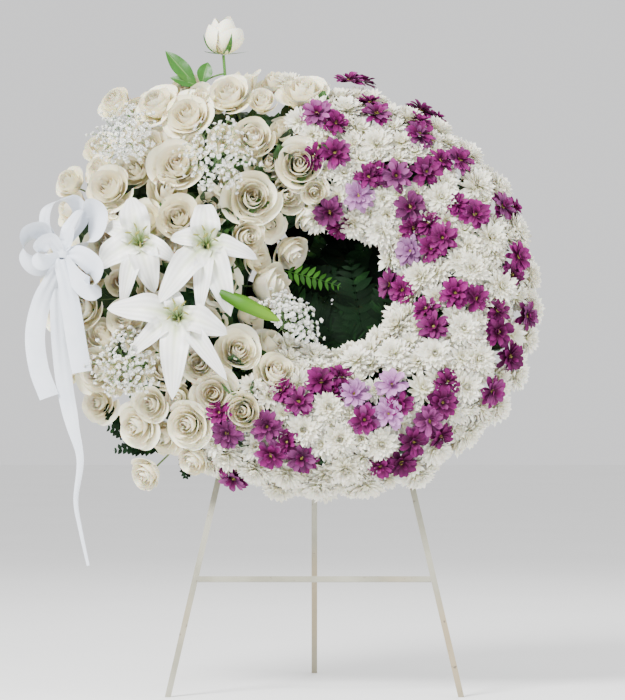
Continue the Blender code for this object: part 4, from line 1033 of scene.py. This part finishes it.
def sprig_parts():
    """Stems that fan out from each sprig's head, with a floret at the end and four on side stems."""
    lines, spots, ways = [], [], []
    for node, (_, spread_px) in BABYS_BREATH.items():
        site = next(s for s in SITES if s.node == node)
        spread = spread_px * PIXEL
        side = site.facing.orthogonal().normalized()
        over = site.facing.cross(side)
        top = site.centre + site.facing * 0.026
        lines.append(curve(site.centre - site.facing * 0.06, site.centre, top, 8))
        for k in range(SPRIG_BRANCHES):
            away = 1.12 * spread * math.sqrt((k + 0.6) / SPRIG_BRANCHES)
            turn = GOLDEN * k + rng.uniform(-0.2, 0.2)
            out = math.cos(turn) * side + math.sin(turn) * over
            high = 0.047 - 0.2 * away + rng.uniform(-0.003, 0.003)
            spot = site.centre + away * out + site.facing * high
            start = top - site.facing * (0.0006 * k)
            lines.append(curve(start, (start + spot) / 2 + out * 0.004, spot, 8))
            spots.append(spot)
            ways.append((spot - start).normalized())
            for j in range(4):
                swing = math.cos(2.1 * j + k) * side + math.sin(2.1 * j + k) * over
                fork = start.lerp(spot, 0.6 + 0.1 * j)
                end = fork + ((spot - start).normalized() * 0.008 + swing * 0.0085)
                lines.append(curve(fork, (fork + end) / 2 + swing * 0.001, end, 8))
                spots.append(end)
                ways.append((end - fork).normalized())
    thin = np.full((len(lines), 8), 0.00038)
    thin[:, 0] = 0.0005
    stems = tubes(np.array(lines), thin, 3, 0.7)
    spots, ways = np.array(spots), np.array(ways)
    return stems, floret_petals(spots, ways, noise.uniform(0.0042, 0.0060, len(spots)))


sprig_stems, sprig_heads = sprig_parts()
add_piece("sprig_stems", [sprig_stems], stem_green)
add_piece("sprig_florets", [sprig_heads], sprig_white, list(BABYS_BREATH))


# %% [markdown]
# ## Ferns and leaves
# A frond is a rib with pairs of narrow leaflets that shorten towards its tip. Three fans of fronds
# stand behind the ring's hole, near-black leaves close it behind them, and one bright frond crosses it.
# The near-black fronds and leaves are painted shade for the dark hole.

# %% Fern fronds
def frond_parts(starts, bends, tips, widths, faces, pairs=13, leaflet=0.36):
    """Fronds: a thin rib, and on each side `pairs` leaflets whose length follows a sine along the rib."""
    v = (np.arange(pairs) + 0.5) / pairs * 0.86 + 0.13
    starts, bends, tips = np.array(starts, float), np.array(bends, float), np.array(tips, float)
    rib = curve_points(starts, bends, tips, np.linspace(0, 1, 16))
    line = curve_points(starts, bends, tips, v)
    along = unit(curve_points(starts, bends, tips, v + 0.01) - line)
    face = np.broadcast_to(np.array(faces, float)[:, None], line.shape)
    side = unit(np.cross(along, face))
    reach = np.array(widths)[:, None] / 2 * np.sin(np.pi * np.minimum(0.97, 0.16 + 0.8 * v))[None] + 0.002
    parts = [tubes(rib, np.linspace(0.0011, 0.0003, 16)[None] * np.ones((len(rib), 1)), 4, 0.6)]
    for sign in (-1, 1):
        out = side * sign
        base = line.reshape(-1, 3)
        long = reach.reshape(-1, 1) * noise.uniform(0.9, 1.05, (base.shape[0], 1))
        way = unit(out + along * 0.55).reshape(-1, 3)
        flat = face.reshape(-1, 3)
        droop = flat * (-0.10 * long) + noise.normal(0, 0.0012, base.shape)
        tip = base + way * long + droop
        bend = base + way * long * 0.5 + flat * 0.04 * long
        parts.append(leaf_part(base, bend, tip, long[:, 0] * leaflet, flat, (0.45, 0.4, 0.9, 11), 3,
                               (0.15, 0.85), fold=0.1))
    return parts


def hole_frond_places():
    """The fans behind the hole, as in the solids, with smaller fronds that fill the gaps between them."""
    starts, bends, tips, widths = [], [], [], []
    for number, turn in enumerate((1.0, 3.1, 5.2)):
        for k, swing in enumerate((-19, 19, -44, 44, 0)):
            depth = 0.0035 + 0.0075 * number + (0.0 if k < 2 else 0.002 * (k - 3))
            radial = Vector((math.cos(turn), 0, math.sin(turn)))
            across = Vector((-math.sin(turn), 0, math.cos(turn)))
            inner = RING_RADIUS - FOAM_HALF
            fork = radial * (inner - 0.014) + FRONT * max(0.003, depth)
            way = -radial * math.cos(math.radians(swing)) + across * math.sin(math.radians(swing))
            long = 0.17 if k < 2 else (0.15 if k < 4 else 0.10)
            tip = fork + way * long + FRONT * (0.004 * (k % 2))
            starts.append(fork)
            tips.append(tip)
            bends.append((fork + tip) / 2 + FRONT * 0.003)
            widths.append(0.088 if k < 2 else 0.07)
    return starts, bends, tips, widths


def painted_shade_leaves(count=110):
    """Near-black leaves that close the back of the hole, at random turns in the tray's plane. Their
    colour is painted shade for the dark hole.
    """
    starts, tips, faces = [], [], []
    for _ in range(count):
        away, turn = 0.128 * math.sqrt(rng.random()), rng.uniform(-math.pi, math.pi)
        spot = Vector((away * math.cos(turn), -rng.uniform(0.001, 0.012), away * math.sin(turn)))
        swing = rng.uniform(-math.pi, math.pi)
        way = Vector((math.cos(swing), rng.uniform(-0.12, 0.12), math.sin(swing)))
        starts.append(spot - way * 0.024)
        tips.append(spot + way * 0.026)
        faces.append(Vector((rng.uniform(-0.3, 0.3), -1, rng.uniform(-0.3, 0.3))).normalized())
    starts, tips, faces = np.array(starts), np.array(tips), np.array(faces)
    return [leaf_part(starts, (starts + tips) / 2 + faces * 0.004, tips, [0.026] * count, faces,
                      (0.15, 0.45, 0.8, 9), 5, (0.0, 0.28), fold=0.2, wave=0.05)]


# The near-black leaves in the hole are painted shade.
add_piece("hole_painted_shade_leaves", painted_shade_leaves(), hole_shade_green)
# The fronds behind the hole carry the fern's painted shade.
starts, bends, tips, widths = hole_frond_places()
hole_fronds = frond_parts(starts, bends, tips, widths, [[0, -1, 0]] * len(starts))
add_piece("hole_fern_fronds", hole_fronds, fern_painted_shade,
          [f"fern_behind_hole_{k}" for k in (1, 2, 3)])

BRIGHT_START, BRIGHT_TIP = in_plane(277, 268, 0.05), in_plane(342, 286, 0.055)
bright_frond = frond_parts([BRIGHT_START], [(BRIGHT_START + BRIGHT_TIP) / 2 + UP * 0.004], [BRIGHT_TIP],
                           [0.036], [[0, -1, 0.2]], 9)
add_piece("hole_bright_frond", bright_frond, frond_bright)


FERN_ROOT, FERN_END, FERN_MOUTH = (206, 432, 0.028), (150, 447, 0.026), (228, 402, 0.024)
FERN_FORKS = (0.95, 0.75, 0.5, 0.2)


def lower_fern_parts():
    """The four fronds that stick out at the lower left, and the stem that they share."""
    root, outer, mouth = in_plane(*FERN_ROOT), in_plane(*FERN_END), in_plane(*FERN_MOUTH)
    starts, bends, tips = [], [], []
    for k, (px, py) in enumerate(FERN_TIPS_PX):
        start = root.lerp(outer, FERN_FORKS[k])
        tip = in_plane(px, py, 0.030 + 0.003 * k)
        starts.append(start)
        tips.append(tip)
        bends.append((start + tip) / 2 + FRONT * 0.004)
    parts = frond_parts(starts, bends, tips, [0.036] * 4, [[0, -1, 0]] * 4, 12, 0.62)
    return parts + [tubes([curve(mouth, root, outer, 14)], 0.0016, 5, 0.4)]


# These fronds carry the fern's painted shade as well.
add_piece("lower_fern_fronds", lower_fern_parts(), fern_painted_shade, ["fern_lower_left"])


# %% Leaves behind and between the flowers
FOAM_CORE = 0.042
FOAM_RISE = 0.047


def foam_surface(spot):
    """The nearest point of the foam's outside to a spot."""
    turn = math.atan2(spot.z, spot.x)
    radial = Vector((math.cos(turn), 0, math.sin(turn)))
    core = radial * RING_RADIUS + FRONT * FOAM_CORE
    away = (spot - core) - (spot - core).dot(radial.cross(FRONT)) * radial.cross(FRONT)
    share = 1 / math.hypot(away.dot(radial) / FOAM_HALF, away.dot(FRONT) / FOAM_RISE)
    return core + away * share


BACKING_ROOT, BACKING_END = (140, 256, 0.027), (88, 248, 0.020)
BACKING_LEAVES = [(0.95, (60, 214, 0.018)), (0.8, (68, 296, 0.018)), (0.5, (88, 146, 0.018)),
                  (0.2, (94, 352, 0.018))]


def backing_parts():
    """Four broad leaves on one stem behind the roses."""
    root, outer = in_plane(*BACKING_ROOT), in_plane(*BACKING_END)
    starts = np.array([root.lerp(outer, share) for share, _ in BACKING_LEAVES])
    tips = np.array([in_plane(*tip) for _, tip in BACKING_LEAVES])
    leaves = leaf_part(starts, (starts + tips) / 2 + [0, -0.006, 0], tips, [0.054] * 4, [[0, -1, 0]] * 4,
                       (0.06, 0.5, 0.8, 20), 9, (0.2, 0.6), fold=0.18, wave=0.06)
    return [leaves, tubes([curve(foam_surface(root), root, outer, 10)], 0.0019, 6, 0.4)]


add_piece("broad_backing_leaves", backing_parts(), leaf_dark, ["backing_leaves"])


def filling_leaves(count, spans, sunk, long, wide, least=-1.15):
    """Leaves under the flowers: each tip lies a little below the domed surface, and its root towards
    the foam, so that dark green shows between the blooms."""
    starts, tips, faces, widths = [], [], [], []
    for _ in range(count):
        turn = math.radians(rng.uniform(*spans))
        share = math.sin(rng.uniform(least, 1.42))
        reach = INNER_REACH * 0.8 if share < 0 else outer_reach(turn) * 0.93
        away = RING_RADIUS + share * reach
        x, z = away * math.cos(turn), away * math.sin(turn)
        depth, facing = dome(x, z)
        tip = Vector((x, -depth, z)) - facing * rng.uniform(*sunk)
        root = foam_surface(tip)
        way = (root - tip).normalized() if (root - tip).length > 0.004 else -facing
        swirl = Vector([rng.uniform(-1, 1) for _ in range(3)])
        way = (way + 0.75 * (swirl - swirl.dot(facing) * facing)).normalized()
        starts.append(tip + way * rng.uniform(*long))
        tips.append(tip)
        faces.append((facing + 0.4 * swirl).normalized())
        widths.append(rng.uniform(*wide))
    starts, tips, faces = np.array(starts), np.array(tips), np.array(faces)
    return [leaf_part(starts, (starts + tips) / 2 + faces * 0.006, tips, widths, faces,
                      (0.12, 0.45, 0.8, 11), 5, (0.0, 0.9), fold=0.22, wave=0.06, teeth=1)]


between = filling_leaves(360, (-140, 96), (0.014, 0.032), (0.036, 0.052), (0.018, 0.028))
add_piece("filling_leaves", between, leaf_dark)
behind = filling_leaves(640, (90, 245), (0.048, 0.080), (0.05, 0.075), (0.028, 0.042), -0.3)
add_piece("rose_backing_leaves", behind, leaf_dark)


def stem_parts():
    """A stem from under each flower into the foam, bent a little towards the ring."""
    feet, mouths = [], []
    for site in SITES:
        feet.append(site.foot() + site.facing * (0.008 if site.kind in DROPS else 0.0))
        mouths.append(foam_surface(site.foot()))
    feet, mouths = np.array(feet), np.array(mouths)
    facing = np.array([s.facing for s in SITES])
    line = curve_points(feet, (feet + mouths) / 2 - facing * 0.006, mouths - facing * 0.004,
                        np.linspace(0, 1, 8))
    return [tubes(line, 0.0015)]


add_piece("flower_stems", stem_parts(), stem_green)


# %% [markdown]
# ## The ribbon
# One strip of satin makes each loop of the bow and each tail. A smooth curve runs through a few places
# seen in the photograph, and the strip's width direction turns slowly along it.

# %% Ribbon strips
def smooth_route(places, count):
    """A Catmull-Rom curve through the places, sampled at `count` even steps of its length."""
    p = np.array(places, float)
    p = np.concatenate([[2 * p[0] - p[1]], p, [2 * p[-1] - p[-2]]])
    fine = []
    for k in range(1, len(p) - 2):
        t = np.linspace(0, 1, 24, endpoint=k == len(p) - 3)[:, None]
        a, b, c, d = p[k - 1:k + 3]
        square, cube = 2 * a - 5 * b + 4 * c - d, 3 * b - a - 3 * c + d
        fine.append(0.5 * (2 * b + (c - a) * t + square * t ** 2 + cube * t ** 3))
    fine = np.concatenate(fine)
    length = np.concatenate([[0], np.cumsum(np.linalg.norm(np.diff(fine, axis=0), axis=1))])
    even = np.linspace(0, length[-1], count)
    return np.stack([np.interp(even, length, fine[:, i]) for i in range(3)], 1), length[-1]


def ribbon_strip(places, across, widths, rows=70, cols=11, gather=0.0, curl=0.0, swirl=0.0):
    """A strip along a smooth route. Its width follows `widths`; gather pleats it near the knot, curl
    bows its section, and swirl rocks it from side to side on the way."""
    line, length = smooth_route(places, rows)
    v = np.linspace(0, 1, rows)
    u = np.linspace(-1, 1, cols)
    wide = np.interp(v, np.linspace(0, 1, len(widths)), widths)
    along = unit(np.gradient(line, axis=0))
    across = np.array(across, float)
    if across.ndim == 1:
        across = np.tile(across, (2, 1))
    way = np.stack([np.interp(v, np.linspace(0, 1, len(across)), across[:, i]) for i in range(3)], 1)
    side = unit(way - (way * along).sum(1, keepdims=True) * along)
    up = np.cross(side, along)
    rock = swirl * np.sin(v * 7.0)
    side, up = (side * np.cos(rock)[:, None] + up * np.sin(rock)[:, None],
                up * np.cos(rock)[:, None] - side * np.sin(rock)[:, None])
    pleat = gather * np.exp(-v * 5.0)[:, None] * np.cos(u * 7.0)[None]
    lift = pleat + (curl * u ** 2)[None] + 0.0012 * np.sin(v * 11)[:, None] * u[None]
    points = line[:, None] + side[:, None] * (wide[:, None] / 2 * u)[..., None]
    points = points + up[:, None] * lift[..., None]
    return points[None], grid_faces(1, rows, cols), marks_of(1, rows, cols, 0.5), length


def satin_material():
    """Bluish-white satin: a soft sheen, and a fine weave across the strip."""
    made, tree, shader = new_material("satin_ribbon")
    weave = math_node(tree, "SINE", math_node(tree, "MULTIPLY", attribute_node(tree, "along"), 1400.0))
    colour = ramp_node(tree, [(0.0, (0.62, 0.68, 0.78)), (1.0, (0.86, 0.89, 0.93))])
    tree.links.new(noise_node(tree, 25.0), colour.inputs["Fac"])
    tree.links.new(colour.outputs["Color"], shader.inputs["Base Color"])
    shader.inputs["Roughness"].default_value = 0.34
    shader.inputs["Sheen Weight"].default_value = 0.3
    shader.inputs["Anisotropic"].default_value = 0.5
    add_bump(tree, shader, weave, 0.15, 0.0003)
    return made


satin = satin_material()
KNOT = in_plane(60, 250, 0.142)


def ribbon_piece(name, strip, replaced=()):
    """A strip as its own piece of satin."""
    points, faces, marks, length = strip
    made = add_piece(name, [(points, faces, marks)], satin, replaced)


# %% [markdown]
# Four loops start and end at the knot. They belly out wider than they are at the knot. A small fold
# lies on the front, and a short band is wound round the middle.

# %% The bow
KNOT_WIDTH = 0.026
LOOPS = {
    "bow_left_loop": ([(60, 250, .142), (44, 230, .156), (27, 235, .153), (24, 255, .139), (37, 267, .130),
                       (60, 256, .141)], [0.1, -0.75, 0.6], [0.020, 0.036, 0.040, 0.038, 0.020], 0.12),
    "bow_upper_loop": ([(60, 248, .142), (46, 228, .156), (48, 206, .154), (70, 199, .143), (79, 222, .132),
                        (62, 249, .141)], [0.6, -0.75, 0.1], [0.020, 0.036, 0.040, 0.038, 0.020], 0.12),
    "bow_right_loop": ([(64, 248, .144), (70, 226, .160), (84, 208, .164), (96, 216, .158), (90, 238, .150),
                        (66, 252, .144)], [0.7, -0.6, 0.4], [0.020, 0.036, 0.042, 0.036, 0.020], 0.1),
    "bow_lower_loop": ([(64, 254, .144), (80, 256, .162), (95, 270, .164), (92, 288, .158), (78, 280, .150),
                        (64, 258, .144)], [0.3, -0.6, 0.7], [0.020, 0.034, 0.040, 0.034, 0.020], 0.1),
}
FRONT_FOLD = [(60, 252, .148), (50, 240, .164), (38, 250, .166), (43, 262, .158), (58, 256, .148)]
for name, (places, across, widths, swirl) in LOOPS.items():
    loop = ribbon_strip([in_plane(*place) for place in places], across, widths, gather=0.002, curl=0.0015,
                        swirl=swirl)
    stands_for = ["ribbon_bow"] if name == "bow_left_loop" else ()
    ribbon_piece(name, loop, stands_for)
front_fold = ribbon_strip([in_plane(*place) for place in FRONT_FOLD], [0.0, -0.6, 0.8],
                          [0.014, 0.026, 0.030, 0.016], rows=40, gather=0.0015, curl=0.001)
ribbon_piece("bow_front_fold", front_fold)
round_knot = [KNOT + Vector((0.0125 * math.cos(a), -0.0085 * math.sin(a), 0.001 * math.sin(a)))
              for a in np.linspace(0.2, 2 * math.pi + 0.1, 12)]
knot_band = ribbon_strip(round_knot, [0.0, 0.0, 1.0], [KNOT_WIDTH] * 2, rows=40, curl=-0.003)
ribbon_piece("bow_knot", knot_band)

# %% The tails and the wire that holds the bow
TAILS = {
    "ribbon_tail_left": (0.0, [0.020, 0.029, 0.030, 0.030, 0.030], [
        (50, 282, .134), (40, 304, .126), (34, 335, .120), (38, 368, .116), (49, 397, .114)]),
    "ribbon_tail_short": (-0.005, [0.020, 0.029, 0.030, 0.030], [
        (66, 284, .142), (71, 310, .138), (76, 342, .130), (82, 372, .126)]),
    "ribbon_tail_long": (0.005, [0.020, 0.026, 0.027, 0.026, 0.023, 0.012, 0.008, 0.006, 0.004], [
        (57, 284, .126), (58, 330, .112), (64, 385, .106), (72, 425, .102), (80, 460, .098),
        (76, 500, .094), (81, 530, .09), (89, 565, .086)]),
}
for tail, (back, widths, places) in TAILS.items():
    head = KNOT + Vector((0, back, -0.0145))
    route = [head, head - UP * 0.006] + [in_plane(*place) for place in places]
    strip = ribbon_strip(route, [[1, 0, 0], [1, 0.15, 0], [1, 0.3, 0.05], [1, 0.1, 0]], widths, rows=90,
                         gather=0.002, curl=0.0016, swirl=0.22)
    ribbon_piece(tail + "_satin", strip, [tail])
WIRE_BEND, WIRE_END = in_plane(100, 262, 0.052), foam_surface(in_plane(150, 262, 0.04))
wire = tubes([curve(KNOT, WIRE_BEND, WIRE_END, 12)], 0.0016, 6, 0.4)
add_piece("bow_wire", [wire], stem_green)

# %% [markdown]
# ## The stand, the foam and the tray
# These keep their own solids. The bars get old satin paint: it is olive grey, warmer in some stretches,
# with small rubbed spots.

# %% Stand materials
def painted_bar_material():
    """Olive-grey paint over steel, with warmer stretches and darker spots where it is rubbed."""
    made = plain_material("olive_grey_paint", (0.30, 0.29, 0.22), (0.40, 0.39, 0.31), 14.0, 0.42, 0.25,
                          0.0002, 700.0)
    tree = made.node_tree
    shader = tree.nodes["Principled BSDF"]
    before = shader.inputs["Base Color"].links[0].from_socket
    warm = ramp_node(tree, [(0.52, (0, 0, 0)), (0.68, (1, 1, 1))])
    tree.links.new(noise_node(tree, 5.0, 1.0), warm.inputs["Fac"])
    share = math_node(tree, "MULTIPLY", warm.outputs["Color"], 0.7)
    warmer = mix_node(tree, share, before, (0.42, 0.33, 0.2))
    worn = ramp_node(tree, [(0.66, (0, 0, 0)), (0.72, (1, 1, 1))])
    tree.links.new(noise_node(tree, 120.0, 4.0), worn.inputs["Fac"])
    rubbed = mix_node(tree, worn.outputs["Color"], warmer, (0.16, 0.13, 0.1))
    tree.links.new(rubbed, shader.inputs["Base Color"])
    return made


paint = painted_bar_material()
steel = plain_material("pin_steel", (0.45, 0.45, 0.45), (0.55, 0.55, 0.55), 60.0, 0.35, 1.0)
foam_look = plain_material("floral_foam", (0.012, 0.045, 0.018), (0.03, 0.09, 0.035), 90.0, 0.95,
                           bump_height=0.0012, bump_scale=500.0)
tray_look = plain_material("tray_plastic", (0.012, 0.04, 0.018), (0.018, 0.055, 0.025), 30.0, 0.5)
for dull in (foam_look, tray_look):
    dull.node_tree.nodes["Principled BSDF"].inputs["Specular IOR Level"].default_value = 0.15
stand_looks = {"foam_ring": foam_look, "tray": tray_look, "hinge_pin": steel}
for node in ("front_leg_left", "front_leg_right", "crossbar_lower", "crossbar_upper", "head_plate",
             "rear_leg", "rest_peg_left", "rest_peg_right"):
    stand_looks[node] = paint
for node, looks in stand_looks.items():
    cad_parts[node].data.materials.clear()
    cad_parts[node].data.materials.append(looks)
print(len(stand_looks), "solids keep their own shape")

# %% [markdown]
# ## Floor, light and camera
# A pale floor, one broad soft light from the upper left, a weaker one from the right, a small one from
# behind, and a camera with a long lens, far off and level with the middle of the whole part.

# %% Studio
def plain_floor(size=12.0):
    """A matt square that reaches `size` each way from the middle."""
    mesh = bpy.data.meshes.new("floor")
    corners = [(-size, -size, 0), (size, -size, 0), (size, size, 0), (-size, size, 0)]
    mesh.from_pydata(corners, [], [(0, 1, 2, 3)])
    made = bpy.data.objects.new("floor", mesh)
    bpy.context.scene.collection.objects.link(made)
    mesh.materials.append(plain_material("floor", (0.90, 0.90, 0.89), (0.92, 0.92, 0.91), 2.0, 0.85))
    return made


def area_light(name, place, target, size, power, colour=(1, 1, 1)):
    """A round soft light at a place, turned towards its target."""
    data = bpy.data.lights.new(name, "AREA")
    data.shape = "DISK"
    data.size = size
    data.energy = power
    data.color = colour
    made = bpy.data.objects.new(name, data)
    made.location = place
    made.rotation_euler = (Vector(target) - Vector(place)).to_track_quat("-Z", "Y").to_euler()
    bpy.context.scene.collection.objects.link(made)
    return made


CENTRE = Vector((0.0439, 0.0, 0.5235))
key = area_light("key", (-1.6, -2.2, 2.6), CENTRE, 1.1, 250)
side_light = area_light("side", (2.2, -1.2, 1.2), CENTRE, 1.4, 50, (0.95, 0.97, 1))
rim_light = area_light("rim", (0.4, 2.2, 2.2), CENTRE, 1.2, 30)
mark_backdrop(plain_floor(), key, side_light, rim_light)
world = bpy.data.worlds.new("studio")
bpy.context.scene.world = world
world.use_nodes = True
sky = world.node_tree.nodes["Background"]
sky.inputs["Color"].default_value = (0.92, 0.92, 0.93, 1)
sky.inputs["Strength"].default_value = 1.15

camera_data = bpy.data.cameras.new("camera")
camera = bpy.data.objects.new("camera", camera_data)
bpy.context.scene.collection.objects.link(camera)
AWAY = 6.0
VIEW_HEIGHT = 1.05
camera_data.lens = 36 * AWAY / VIEW_HEIGHT
camera.location = (CENTRE.x, -0.22 - AWAY, CENTRE.z)
camera.rotation_euler = (math.radians(90), 0, 0)
bpy.context.scene.camera = camera

shown_box = [list(corner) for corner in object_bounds()]
for what, corners in (("solids", cad_box), ("dressed", shown_box)):
    print(what, [[round(v, 3) for v in corner] for corner in corners])
